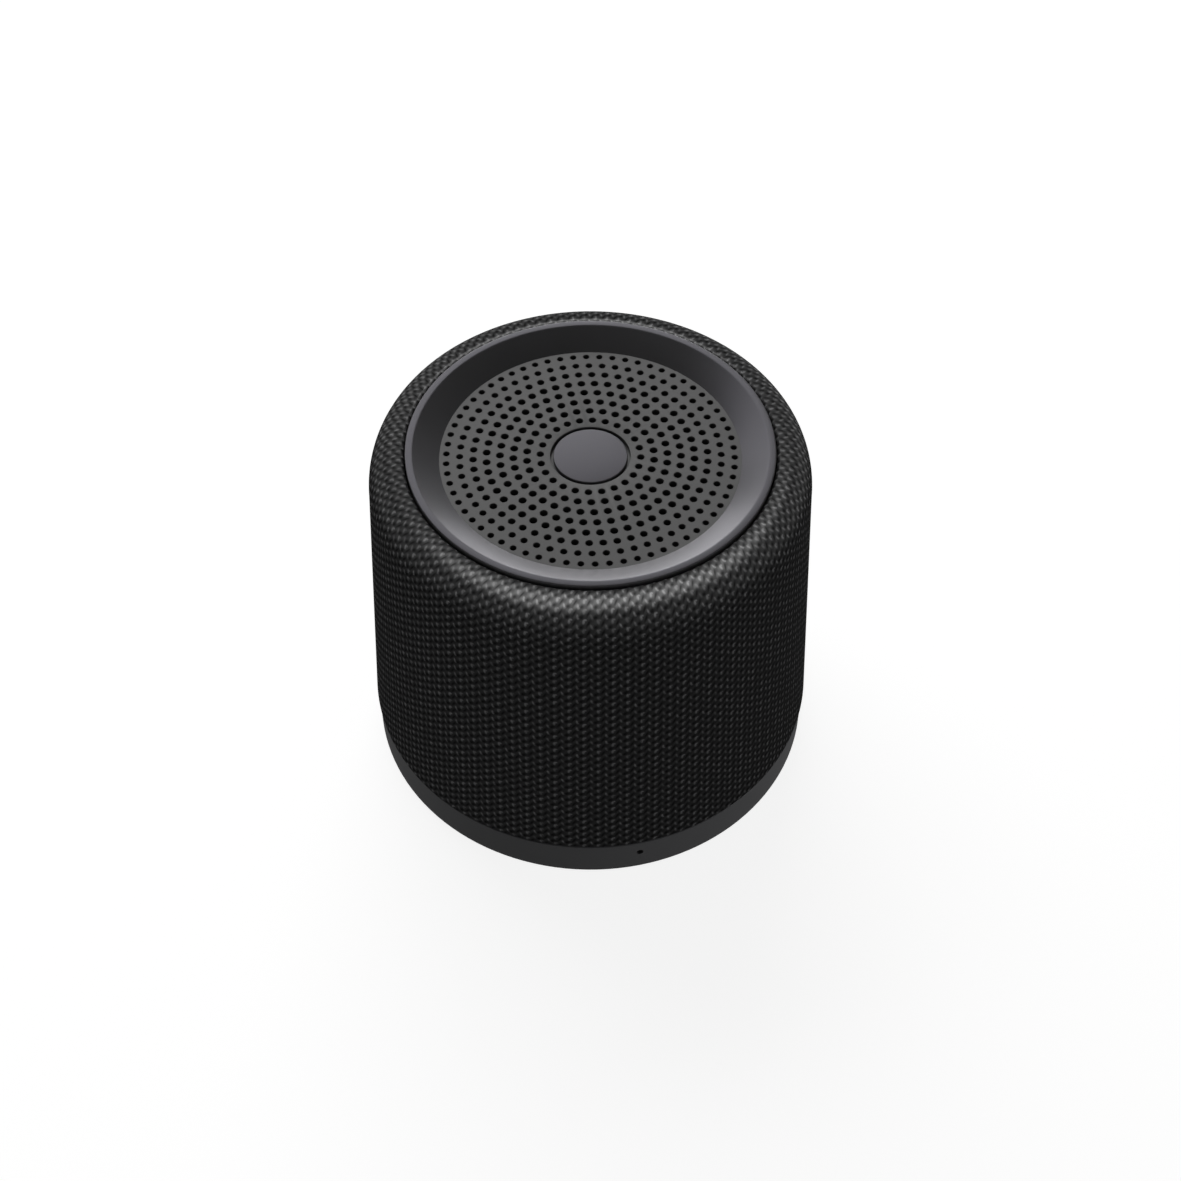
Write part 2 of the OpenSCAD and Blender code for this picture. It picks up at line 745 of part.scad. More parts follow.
// Block with two solder tags on the back of the basket
module driver_terminal() {
    block_w = 8;
    block_h = spider_h - basket_t - fit;
    color("#7a6a3c") {
        translate([-block_w / 2, terminal_y, z_basket]) cube([block_w, terminal_t, block_h]);
        for (s = [-1, 1])
            translate([s * lead_pitch / 2 - tab_w / 2, terminal_y + terminal_t - tab_t, z_basket - tab_l])
                cube([tab_w, tab_t, tab_l]);
    }
}

module speaker_leads() {
    y = terminal_y + terminal_t - tab_t / 2;
    color("#8a2020") for (s = [-1, 1]) lead(
        [s * lead_pitch / 2, y, z_basket - tab_l - fit],
        [s * lead_pitch / 2, y, z_board_top + plug_h + fit], [0, speaker_bow, 0]);
}

// Round board, notched at the base posts and at the microphone
module main_board() {
    notch = boot_r + 2 * fit;
    color("#1f5a3a") difference() {
        translate([0, 0, z_board]) cylinder(r = r_board, h = board_t);
        at_posts() translate([0, 0, z_board - over]) {
            cylinder(r = post_r + 2 * fit, h = board_t + 2 * over);
            translate([-post_r - 2 * fit, 0, 0]) cube([2 * (post_r + 2 * fit), r_band, board_t + 2 * over]);
        }
        at_back(180) translate([-notch, boot_back - 2 * fit, z_board - over])
            cube([2 * notch, r_band, board_t + 2 * over]);
        at_board_screws() translate([0, 0, z_board - over])
            cylinder(r = shank_bore_r, h = board_t + 2 * over, $fn = 24);
    }
}

module board_screws() {
    color("#8c8c8c") at_board_screws() translate([0, 0, z_board_top]) screw(short_screw_l);
}

// Shielded radio module on the front half of the board
module radio_module() {
    radio_h = 2.4;
    base_h = 0.8;
    rim = 1;
    radio_y = -trough_r - radio_w / 2 - rim;
    color("#9a9c9e") translate([-radio_w / 2, radio_y - radio_w / 2, z_board_top]) {
        cube([radio_w, radio_w, base_h]);
        translate([rim, rim, base_h]) cube([radio_w - 2 * rim, radio_w - 2 * rim, radio_h - base_h]);
    }
}

module amplifier_chip() {
    chip_h = 1;
    color("#161616") translate([-chip_w / 2 - trough_x / 2, trough_r + over, z_board_top])
        cube([chip_w, chip_w, chip_h]);
}

module capacitors() {
    color("#3b4a66") for (i = [0, 1])
        translate([trough_x / 2 + (i - 0.5) * (cap_d + over), trough_r + over + cap_d / 2, z_board_top])
            cylinder(d = cap_d, h = cap_h, $fn = 32);
}

module inductors() {
    inductor_h = 3;
    inductor_y = -trough_r - over - coil_w;
    color("#4c4c4c") for (i = [0, 1])
        translate([-trough_x / 2 + (i - 0.5) * (coil_w + over) - coil_w / 2, inductor_y, z_board_top])
            cube([coil_w, coil_w, inductor_h]);
}

// Plugged two-pin connectors of the speaker's and the cell's leads
module lead_connectors() {
    speaker_y = terminal_y + terminal_t - tab_t / 2;
    color("#e8e4d8") {
        translate([-plug_w / 2, speaker_y - plug_l / 2, z_board_top]) cube([plug_w, plug_l, plug_h]);
        translate([battery_plug_x - plug_l / 2, -plug_w / 2, z_board_top]) cube([plug_l, plug_w, plug_h]);
    }
}

// Pressed shell of the charging socket, closed at its back
module usb_socket() {
    y1 = r_band - usb_recess;
    y0 = y1 - usb_l;
    color("#b8babc") difference() {
        outward(y0, y1, z_port) pill(usb_w, usb_h);
        outward(y0 + 2 * usb_wall, y1 + over, z_port) pill(usb_w - 2 * usb_wall, usb_h - 2 * usb_wall);
    }
}

module usb_tongue() {
    tongue_w = 6.7;
    tongue_t = 0.7;
    tongue_short = 1.2;
    y1 = r_band - usb_recess;
    y0 = y1 - usb_l + 2 * usb_wall;
    color("#1c1c1c") translate([-tongue_w / 2, y0, z_port - tongue_t / 2])
        cube([tongue_w, y1 - y0 - tongue_short, tongue_t]);
}

module mic_capsule() {
    color("#a8a8a8") at_back(180) outward(boot_back, boot_front - boot_t, z_mic) circle(d = capsule_d);
}

// Rubber cup that seals the capsule to the sound hole
module mic_boot() {
    color("#101010") at_back(180) difference() {
        outward(boot_back, boot_front, z_mic) circle(r = boot_r);
        outward(boot_back - over, boot_front - boot_t, z_mic) circle(d = capsule_d + glue);
        outward(boot_back, boot_front + over, z_mic) circle(d = mic_d, $fn = 24);
    }
}

// Switches under the board's back edge, each with a socket for its plunger
module switch_bodies() {
    play = button_gap;
    socket_floor = switch_face - plunger_in - button_travel - play;
    color("#2a2a2a") at_buttons() difference() {
        translate([-switch_w / 2, switch_face - switch_l, z_usb]) cube([switch_w, switch_l, usb_h]);
        translate([-plunger_w / 2 - play, socket_floor, z_port - plunger_h / 2 - play])
            cube([plunger_w + 2 * play, switch_l, plunger_h + 2 * play]);
    }
}

// Button cap with a curved face, a raised mark, an inner flange and a stem
module button_cap(az) {
    face_y = r_band + button_proud;
    color("#2f3032") at_back(az) {
        outward(face_y - mark_t, face_y + mark_t, z_port) children();
        intersection() {
            outward(button_back - flange_t / 2, face_y, z_port) button_outline(0);
            cylinder(r = face_y, h = z_board_top);
        }
        outward(button_back - flange_t, button_back, z_port) button_outline(flange_over);
        translate([-stem_w / 2, stem_back, z_port - stem_h / 2]) cube([stem_w, stem_l + flange_t / 2, stem_h]);
    }
}

module plunger(az) {
    color("#c8c8c8") at_back(az) translate([-plunger_w / 2, switch_face - plunger_in, z_port - plunger_h / 2])
        cube([plunger_w, plunger_in + plunger_out, plunger_h]);
}

// Marks of the buttons: a broken ring with a bar, a dash and a cross
module power_mark() {
    difference() {
        circle(d = mark_d, $fn = 32);
        circle(d = mark_d - 2 * mark_w, $fn = 32);
        translate([-mark_w, 0]) square([2 * mark_w, mark_d]);
    }
    translate([-mark_w / 2, 0]) square([mark_w, mark_d / 2 + mark_w / 2]);
}

module dash_mark() { square([mark_d, mark_w], center = true); }

module cross_mark() {
    dash_mark();
    square([mark_w, mark_d], center = true);
}

module power_button() { button_cap(-power_az) power_mark(); }
module power_plunger() { plunger(-power_az); }
module volume_down_button() { button_cap(volume_az) dash_mark(); }
module volume_down_plunger() { plunger(volume_az); }
module volume_up_button() { button_cap(volume_az + volume_step) cross_mark(); }
module volume_up_plunger() { plunger(volume_az + volume_step); }

// Cylinder lying along X through the cell's axis
module along_x(r, length) {
    translate([-length / 2, 0, z_cell]) rotate([0, 90, 0]) cylinder(r = r, h = length);
}

module battery_cell() {
    edge = 0.6;
    color("#2b4f8c") translate([-cell_l / 2, 0, z_cell]) rotate([0, 90, 0]) rotate_extrude() polygon([
        [0, 0], [cell_r - edge, 0], [cell_r, edge], [cell_r, cell_l - edge], [cell_r - edge, cell_l],
        [0, cell_l]]);
}

// Trough for the cell, with four ears clamped between posts and bosses
module battery_cradle() {
    ear_from = [trough_x - post_r - over, post_r];
    ear_to = [post_ring * sin(post_az), post_ring * cos(post_az)];
    ear = ear_to - ear_from;
    ear_half = post_r - 2 * fit;
    color("#303032") difference() {
        union() {
            intersection() {
                along_x(trough_r, 2 * trough_x);
                translate([-trough_x, -trough_r, z_cradle])
                    cube([2 * trough_x, 2 * trough_r, z_rim - z_cradle]);
            }
            for (sx = [0, 1]) for (sy = [0, 1])
                mirror([sx, 0, 0]) mirror([0, sy, 0]) translate([0, 0, z_cradle]) {
                translate(ear_to) cylinder(r = post_r, h = ear_t);
                translate(ear_from) rotate([0, 0, atan2(ear[1], ear[0])]) translate([0, -ear_half, 0])
                    cube([norm(ear), 2 * ear_half, ear_t]);
            }
        }
        along_x(cell_r + glue, cell_l + 2 * glue);
        at_posts() translate([0, 0, z_cradle - over])
            cylinder(r = shank_bore_r, h = ear_t + 2 * over, $fn = 24);
    }
}

// Spring strap over the cell, standing on the trough's rims
module battery_strap() {
    color("#9a9c9e") intersection() {
        difference() {
            along_x(cell_r + glue + strap_t, strap_w);
            along_x(cell_r + glue, strap_w + 2 * over);
        }
        translate([-strap_w / 2, -trough_r, z_rim]) cube([strap_w, 2 * trough_r, z_strap_top]);
    }
}

module battery_leads() {
    color("#202020") for (s = [-1, 1]) lead(
        [cell_l / 2 + lead_d / 2 + fit, s * lead_pitch / 2, z_cell + cell_r - battery_exit],
        [battery_plug_x, s * lead_pitch / 2, z_board_top + plug_h + lead_d / 2], [battery_bow, 0, 0]);
}

fabric_sleeve();
inner_housing();
top_bezel();
grille_plate();
grille_cloth();
badge_disc();
base_band();
base_plate();
foot_ring();
base_screws();
driver_basket();
driver_gasket();
driver_screws();
driver_surround();
driver_cone();
dust_cap();
voice_coil();
spider();
pole_plate();
driver_magnet();
driver_yoke();
driver_terminal();
speaker_leads();
main_board();
board_screws();
radio_module();
amplifier_chip();
capacitors();
inductors();
lead_connectors();
usb_socket();
usb_tongue();
mic_capsule();
mic_boot();
switch_bodies();
power_button();
power_plunger();
volume_up_button();
volume_up_plunger();
volume_down_button();
volume_down_plunger();
battery_cell();
battery_cradle();
battery_strap();
battery_leads();
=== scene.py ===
"""A compact voice hub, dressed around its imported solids.

The sleeve, bezel, grille, badge, gauze, surround, spider, buttons and contacts are made here.
Every other solid keeps its shape and gets a procedural finish.
"""

import math

import bmesh
import bpy
from mathutils import Matrix, Vector
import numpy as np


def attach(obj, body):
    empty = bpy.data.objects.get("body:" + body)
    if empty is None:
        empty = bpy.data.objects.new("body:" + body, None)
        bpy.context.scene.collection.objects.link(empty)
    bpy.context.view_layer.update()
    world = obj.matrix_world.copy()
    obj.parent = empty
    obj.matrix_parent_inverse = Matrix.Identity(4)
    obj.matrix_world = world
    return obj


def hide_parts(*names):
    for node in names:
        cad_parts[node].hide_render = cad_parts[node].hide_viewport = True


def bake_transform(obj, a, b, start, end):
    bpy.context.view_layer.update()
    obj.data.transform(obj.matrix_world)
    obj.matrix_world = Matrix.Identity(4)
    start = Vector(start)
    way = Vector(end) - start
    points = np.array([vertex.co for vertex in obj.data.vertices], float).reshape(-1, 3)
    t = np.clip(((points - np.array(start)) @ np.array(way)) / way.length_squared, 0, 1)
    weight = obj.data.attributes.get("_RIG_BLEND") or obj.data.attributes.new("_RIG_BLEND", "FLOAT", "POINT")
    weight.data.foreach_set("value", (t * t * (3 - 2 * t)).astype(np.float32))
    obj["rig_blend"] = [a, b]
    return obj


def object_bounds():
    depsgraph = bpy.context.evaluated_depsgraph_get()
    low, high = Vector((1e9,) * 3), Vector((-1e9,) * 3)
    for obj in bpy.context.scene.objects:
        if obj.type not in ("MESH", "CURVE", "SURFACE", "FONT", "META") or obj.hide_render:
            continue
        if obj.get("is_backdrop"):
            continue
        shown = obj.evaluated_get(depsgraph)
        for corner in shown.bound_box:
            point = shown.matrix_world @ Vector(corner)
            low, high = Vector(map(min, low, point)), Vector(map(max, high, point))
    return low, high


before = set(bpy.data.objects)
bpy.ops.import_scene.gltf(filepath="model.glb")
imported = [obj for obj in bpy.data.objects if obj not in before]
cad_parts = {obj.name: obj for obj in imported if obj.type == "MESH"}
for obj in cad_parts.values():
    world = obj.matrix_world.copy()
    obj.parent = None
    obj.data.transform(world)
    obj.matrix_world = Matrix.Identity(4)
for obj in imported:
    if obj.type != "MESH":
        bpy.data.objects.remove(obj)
cad_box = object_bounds()

MM = 0.001

# Sizes in millimetres, as the solids have them: radii from the axis, heights from the floor.
# Grille with its rings of holes, badge, and the cloth behind
GRILLE_TOP, GRILLE_LOW = 68.5, 67.3
GRILLE_R, GRILLE_RIM_R = 26.2, 27.5
RING_R, RING_STEP, RING_COUNT = 8.72, 2.326, 8
RING_HOLES, RING_MORE_HOLES = 24, 6
HOLE_D = (1.233, 1.32, 1.32, 1.32, 1.32, 1.233, 1.147, 1.06)
HOLE_CHAMFER, DRILL_OVER = 0.08, 1.0
BADGE_R, BADGE_RECESS_R, BADGE_LOW = 6.45, 6.95, 67.7
BADGE_EDGE, RECESS_EDGE = 0.16, 0.1
CLOTH_LOW, CLOTH_R, CLOTH_T, CLOTH_EDGE = 67.0, 26.32, 0.3, 0.1

# Bezel and the snap hooks under it
DISH_R, LIP_R, LIP_TOP = 30.78, 32.0, 71.0
SEAT_R, SKIRT_R, SKIRT_LOW = 27.6, 30.3, 62.2
DISH_FOOT_EDGE, LIP_OUTER_EDGE, LIP_INNER_EDGE = 0.04, 0.18, 0.2
HOOK_COUNT, HOOK_W, HOOK_STEPS = 4, 6.0, 6
HOOK_IN, HOOK_BARB, HOOK_LOW, HOOK_CATCH = 30.8, 32.7, 57.65, 59.05
HOOK_INSET, HOOK_ROOT = 0.01, 1.0

# Sleeve: hem, wall, shoulder, and the rolled edge tucked in beside the lip
SLEEVE_T = 0.8
HEM_R, HEM_LOW, HEM_OUT = 38.55, 8.7, 41.74
SHOULDER_R, SHOULDER_Z, SHOULDER_RUN, SHOULDER_RISE = 38.75, 63.2, 5.45, 7.5
CREST_R, TUCK_ROLL, TUCK_R, TUCK_LOW = 33.3, 0.85, 32.2, 65.6
WALL_STEPS, SHOULDER_STEPS, TUCK_STEPS = 40, 20, 10

# The driver's surround and spider
BASKET_TOP, LAND_R, ROLL_R, CONE_R, CONE_EDGE = 64.2, 25.15, 23.5, 19.33, 61.7
ROLL_DEPTH, ROLL_T, ROLL_STEPS = 1.9, 0.5, 28
SPIDER_Z, SPIDER_T, SPIDER_R, SPIDER_WAVE_R, FORMER_R = 52.145, 0.4, 18.85, 16.5, 10.35
SPIDER_WAVES, SPIDER_SWING, SPIDER_STEPS, SPIDER_BLANK_R = 3, 0.5, 48, 21.1

# Buttons, at headings in degrees from the back, and the socket's contacts
PORT_Z = 4.97
BUTTON_W, BUTTON_H, BUTTON_FACE, BUTTON_BACK, BUTTON_EDGE = 6.4, 2.4, 41.94, 38.966, 0.3
BUTTON_CUTS, BUTTON_CUT_STEP = 7, 0.4
FLANGE_OVER, FLANGE_T = 0.5, 0.7
STEM_W, STEM_H, STEM_L = 2.4, 1.6, 0.9
SIGN_D, SIGN_W, SIGN_T, SIGN_EDGE = 1.5, 0.3, 0.15, 0.05
POWER_GAP, POWER_STEPS = 35.0, 40
POWER_AT, VOLUME_DOWN_AT, VOLUME_UP_AT = -30.0, 24.0, 41.0
TONGUE_T, TONGUE_END = 0.7, 39.64
CONTACT_L, CONTACT_W, CONTACT_T, CONTACT_SETBACK = 3.6, 0.28, 0.04, 0.2
CONTACT_PITCH, CONTACT_COUNT = 0.5, 12

# How finely shapes are divided, and how close counts as touching
TURN_STEPS, PLATE_STEPS, CLOTH_STEPS, DRILL_STEPS = 256, 128, 96, 18
CORNER_STEPS, PILL_STEPS, RIM_STEPS, TRIM_STEPS = 5, 12, 4, 2
MERGED, NEARLY = 1e-4, 1e-3

# The sleeve's weave, in columns round it and rows up it. Pairs are for even and odd columns. Its colour has
# painted light: painted highlights on the yarn tops and net, painted shade in the gaps between yarns.
SLEEVE_COLUMNS, SLEEVE_ROWS = 200, 41.3
SHOULDER_CROWDING = 1.06
STRETCH_LOW, STRETCH_HIGH = 66.7, 69.9
YARN_AT, YARN_WIDTH, YARN_HEIGHT = (0.0, 0.1), (0.29, 0.24), (0.38, 0.33)
YARN_LEAN, LEAN_BY_COLUMN, LEAN_BY_YARN = (-0.42, -0.6), 0.45, 0.2
YARN_LIGHT, LIGHT_BY_YARN, YARN_SWELL = (0.4, 0.25), 0.85, 1.5
CROOK_X, CROOK_Y, CROOK_WIDTH, CROOK_HEIGHT = (0.22, 0.14), (0.18, -0.19), 0.26, 0.14
CROOK_LIGHT, CROOK_BY_COLUMN = 0.3, 0.5
# The gaps' depth sets the painted shade in the colour there, and the dip in the coat and bump
GAP_X, GAP_Y, GAP_SWAY, GAP_STEP, GAP_DEPTH = 0.14, 0.2, 0.12, 0.1, 0.97
# Levels of the weave's painted light: ground, net, and painted highlights on the yarn tops
GROUND_LIGHT, NET_LIGHT, YARN_HIGHLIGHT = 0.125, 0.06, 0.76
FIBRE_MM, FIBRE_LOW, FIBRE_SWING = 0.24, 0.6, 0.8
SHEEN_GROUND, SHEEN_NET, SHEEN_YARN = 0.07, 0.11, 0.06
SHEEN_IN_GAP, SHEEN_ON_WALL = 0.35, 0.12
RELIEF_NET, RELIEF_GAP, RELIEF_YARN, RELIEF_FIBRE, RELIEF_MM = 0.2, 0.3, 0.5, 0.1, 0.3


# ---------------------------------------------------------------- finishes

# A Mix node's colour sockets, by index
MIX_SHARE, MIX_FIRST, MIX_SECOND, MIX_RESULT = 0, 6, 7, 2


class Value:
    """One output of a node, so that shader maths reads as an expression."""

    def __init__(self, nodes, socket):
        self.nodes, self.socket = nodes, socket

    def math(self, operation, *values):
        return self.nodes.node("ShaderNodeMath", {"operation": operation}, dict(enumerate(values)))

    def __add__(self, other):
        return self.math("ADD", self, other)

    def __sub__(self, other):
        return self.math("SUBTRACT", self, other)

    def __rsub__(self, other):
        return self.math("SUBTRACT", other, self)

    def __mul__(self, other):
        return self.math("MULTIPLY", self, other)

    def __truediv__(self, other):
        return self.math("DIVIDE", self, other)

    def __pow__(self, other):
        return self.math("POWER", self, other)

    def __mod__(self, other):
        return self.math("FLOORED_MODULO", self, other)

    def __abs__(self):
        return self.math("ABSOLUTE", self)

    def __round__(self):
        return self.math("ROUND", self)

    def least(self, other):
        return self.math("MINIMUM", self, other)

    def most(self, other):
        return self.math("MAXIMUM", self, other)

    def cosine(self):
        return self.math("COSINE", self)

    __radd__, __rmul__ = __add__, __mul__


class Nodes:
    """A node tree, with one method that adds any node."""

    def __init__(self, tree):
        self.tree = tree

    def node(self, kind, settings=None, inputs=None, output=0):
        node = self.tree.nodes.new(kind)
        for name, setting in (settings or {}).items():
            if name == "stops":
                self.set_stops(node.color_ramp.elements, setting)
            else:
                setattr(node, name, setting)
        for name, value in (inputs or {}).items():
            self.feed(node.inputs[name], value)
        return Value(self, node.outputs[output])

    def set_stops(self, elements, stops):
        """Sets a colour ramp to (place, grey level) stops."""
        elements.remove(elements[1])
        elements[0].position, elements[0].color = stops[0][0], grey(stops[0][1])
        for place, level in stops[1:]:
            elements.new(place).color = grey(level)

    def feed(self, socket, value):
        if isinstance(value, Value):
            self.tree.links.new(value.socket, socket)
        else:
            socket.default_value = value

    def places(self, output="Object"):
        return self.node("ShaderNodeTexCoord", output=output)

    def part(self, vector, axis):
        return self.node("ShaderNodeSeparateXYZ", None, {0: vector}, axis)

    def noise(self, grain_mm, detail=2.0, stretch=(1, 1, 1)):
        """Cloudy values from 0 to 1, with cells of about that size."""
        mapped = self.node("ShaderNodeMapping", None, {"Vector": self.places(), "Scale": stretch})
        return self.node(
            "ShaderNodeTexNoise", None, {"Vector": mapped, "Scale": 1 / (grain_mm * MM), "Detail": detail})

    def mix(self, first, second, share):
        return self.node(
            "ShaderNodeMix", {"data_type": "RGBA"}, {MIX_SHARE: share, MIX_FIRST: first, MIX_SECOND: second},
            MIX_RESULT)

    def bump(self, height, depth_mm):
        return self.node(
            "ShaderNodeBump", None, {"Strength": 1.0, "Distance": depth_mm * MM, "Height": height})


class Finish(Nodes):
    """A procedural material."""

    def __init__(self, name):
        self.material = bpy.data.materials.new(name)
        self.material.use_nodes = True
        super().__init__(self.material.node_tree)

    def surface(self, **inputs):
        """Sets the shader's sockets, such as base_color or coat_roughness."""
        shader = self.tree.nodes["Principled BSDF"]
        for name, value in inputs.items():
            title = name.replace("_", " ").title().replace("Ior", "IOR")
            self.feed(shader.inputs[title], value)
        return self.material


def grey(level, tint=(1.0, 1.0, 1.0)):
    return (level * tint[0], level * tint[1], level * tint[2], 1.0)


def scaled(colour, share):
    """The colour made that much lighter or darker."""
    return tuple(share * channel for channel in colour[:3]) + (1.0,)


def moulded(name, colour, roughness, grain_mm, relief_mm, **gloss):
    """Injection-moulded plastic: spark-eroded grain, slight flow marks in tone and gloss."""
    finish = Finish(name)
    flow = finish.noise(grain_mm=9.0, detail=3.0)
    grain = finish.noise(grain_mm)
    tone = flow * 0.7 + grain * 0.3
    return finish.surface(
        base_color=finish.mix(scaled(colour, 0.88), scaled(colour, 1.12), tone),
        roughness=roughness + 0.12 * (tone - 0.5),
        normal=finish.bump(grain, relief_mm),
        **gloss)


def plated(name, colour, roughness, stretch, tarnish=0.25):
    """Plated or bare metal with drawn marks and a little tarnish."""
    finish = Finish(name)
    marks = finish.noise(grain_mm=0.2, detail=3.0, stretch=stretch)
    cloud = finish.noise(grain_mm=4.0, detail=3.0)
    return finish.surface(
        base_color=finish.mix(scaled(colour, 1.0 - tarnish), colour, cloud),
        roughness=roughness + 0.2 * (marks - 0.5),
        metallic=1.0,
        normal=finish.bump(marks, depth_mm=0.004))


def rubber(name, colour, roughness):
    """Matt rubber with fine pits and a dusty bloom."""
    finish = Finish(name)
    bloom = finish.noise(grain_mm=3.0, detail=4.0)
    pits = finish.noise(grain_mm=0.25)
    return finish.surface(
        base_color=finish.mix(colour, scaled(colour, 1.7), bloom * bloom),
        roughness=roughness + 0.15 * (bloom - 0.5),
        specular_ior_level=0.3,
        normal=finish.bump(pits, depth_mm=0.012))


def fibrous(name, colour, fibre_mm, relief_mm):
    """Pressed paper or felt: short crossed fibres."""
    finish = Finish(name)
    across = finish.noise(fibre_mm, detail=3.0, stretch=(1.0, 0.25, 1.0))
    along = finish.noise(fibre_mm, detail=3.0, stretch=(0.25, 1.0, 1.0))
    fibre = across.most(along)
    return finish.surface(
        base_color=finish.mix(colour, scaled(colour, 1.9), fibre * fibre),
        roughness=0.75 + 0.2 * fibre,
        specular_ior_level=0.2,
        normal=finish.bump(fibre, relief_mm))


def wave(angle):
    """From 1 at no angle to 0 at half a turn."""
    return 0.5 + 0.5 * angle.cosine()


def lit_yarn_tops(finish, across, along):
    """Painted highlights on the tops of slanting yarns with a short crook, one per column and row; every
    other column stands half a row off.
    """
    column = round(across)
    odd = column % 2.0
    shifted = along + 0.5 * odd
    row = round(shifted)
    cell = finish.node("ShaderNodeCombineXYZ", None, {0: column, 1: row})
    chance = finish.node("ShaderNodeTexWhiteNoise", {"noise_dimensions": "2D"}, {"Vector": cell})
    habit = finish.node("ShaderNodeTexWhiteNoise", {"noise_dimensions": "1D"}, {"W": column})

    def by_column(pair):
        return pair[0] + (pair[1] - pair[0]) * odd

    def spot(x, y):
        return (1.0 - x ** 2.0 - y ** 2.0).most(0.0)

    x = across - column - by_column(YARN_AT)
    y = shifted - row
    lean = LEAN_BY_COLUMN * habit + LEAN_BY_YARN * chance + by_column(YARN_LEAN)
    yarn = spot((x - lean * y) / by_column(YARN_WIDTH), y / by_column(YARN_HEIGHT)) ** 2.0
    crook = spot((x - by_column(CROOK_X)) / CROOK_WIDTH, (y - by_column(CROOK_Y)) / CROOK_HEIGHT)
    crook = crook * (CROOK_LIGHT + CROOK_BY_COLUMN * habit)
    # Brightness of the painted highlight on each yarn top, by column and at random; the same values weight
    # the coat and raise the bump
    return (YARN_SWELL * yarn.most(crook)).least(1.0) * (by_column(YARN_LIGHT) + LIGHT_BY_YARN * chance)


def woven_sleeve():
    """Dark weave with painted light: slanting yarn tops painted lighter as highlights, weaker in every other
    column, over a net, with painted shade in the dark gaps.
    """
    finish = Finish("sleeve_weave")
    uv = finish.places("UV")
    across = finish.part(uv, 0) * SLEEVE_COLUMNS
    along = finish.part(uv, 1) * SLEEVE_ROWS
    yarn = lit_yarn_tops(finish, across, along)
    step = (across * math.pi).cosine()
    sway = ((across - 0.5) * math.pi).cosine()
    net = 0.5 + 0.5 * step * (along * math.tau).cosine()
    slant = (along + GAP_Y + GAP_SWAY * sway + GAP_STEP * step) * math.tau - (across - 0.5) * math.pi
    furrow = 1.0 - wave((across - GAP_X) * math.tau)
    # Painted shade in the slanting gaps between columns; the bump and the coat dip there too
    solid = 1.0 - GAP_DEPTH * furrow * wave(slant) ** 2.0
    fibre = finish.noise(FIBRE_MM)
    # Painted light and shade: net and yarn tops painted lighter, gaps painted dark; the fibre noise is random
    # tone
    shade = (GROUND_LIGHT + NET_LIGHT * net + YARN_HIGHLIGHT * yarn) * solid * (FIBRE_LOW + FIBRE_SWING * fibre)
    height = finish.part(finish.places(), 2) / MM
    stretched = ((height - STRETCH_LOW) / (STRETCH_HIGH - STRETCH_LOW)).most(0.0).least(1.0)
    sheen = SHEEN_GROUND + SHEEN_NET * net + SHEEN_YARN * yarn
    sheen = sheen * (SHEEN_IN_GAP + (1.0 - SHEEN_IN_GAP) * solid)
    relief = RELIEF_NET * net + RELIEF_GAP * solid + RELIEF_YARN * yarn + RELIEF_FIBRE * fibre
    return finish.surface(
        base_color=finish.mix(grey(0.002), grey(0.062, (1.0, 1.0, 1.02)), shade.least(1.0)),
        roughness=0.85,
        specular_ior_level=0.0,
        coat_weight=sheen * (SHEEN_ON_WALL + (1.0 - SHEEN_ON_WALL) * stretched),
        coat_roughness=0.34,
        coat_ior=3.0,
        normal=finish.bump(relief, RELIEF_MM))


def plain_weave(finish, pitch_mm):
    """Heights from 0 to 1 of yarns that cross at that pitch."""
    spot = finish.places()
    x, y = (abs(finish.part(spot, axis) / (pitch_mm * MM) % 1.0 - 0.5) for axis in (0, 1))
    return 1.0 - 2.0 * x.least(y)


def grille_gauze():
    """Thin black acoustic cloth."""
    finish = Finish("gauze_weave")
    yarn = plain_weave(finish, pitch_mm=0.4)
    return finish.surface(
        # Painted shade: the holes between the yarns are painted darker than the yarn crowns
        base_color=finish.mix(grey(0.002), grey(0.008), yarn),
        roughness=0.9,
        specular_ior_level=0.1,
        normal=finish.bump(yarn, depth_mm=0.05))


def centring_cloth():
    """Amber resin-stiffened cloth of the spider."""
    finish = Finish("spider_weave")
    yarn = plain_weave(finish, pitch_mm=0.5)
    return finish.surface(
        # Painted shade: the holes between the yarns are painted darker amber than the yarn crowns
        base_color=finish.mix((0.22, 0.12, 0.03, 1), (0.46, 0.30, 0.09, 1), yarn),
        roughness=0.7,
        normal=finish.bump(yarn, depth_mm=0.08))


def circuit_board():
    """Green lacquer over copper runs."""
    finish = Finish("board_lacquer")
    runs = finish.node(
        "ShaderNodeTexBrick", {"offset": 0.37},
        {"Vector": finish.places(), "Scale": 160.0, "Mortar Size": 0.012, "Color1": grey(0.0),
         "Color2": grey(0.0), "Mortar": grey(1.0)})
    lines = finish.node("ShaderNodeRGBToBW", None, {0: runs})
    cloud = finish.noise(grain_mm=6.0)
    green = finish.mix((0.006, 0.07, 0.03, 1), (0.012, 0.10, 0.045, 1), cloud)
    return finish.surface(
        base_color=finish.mix(green, (0.03, 0.16, 0.07, 1), lines),
        roughness=0.3 + 0.15 * cloud,
        normal=finish.bump(lines, depth_mm=0.03))


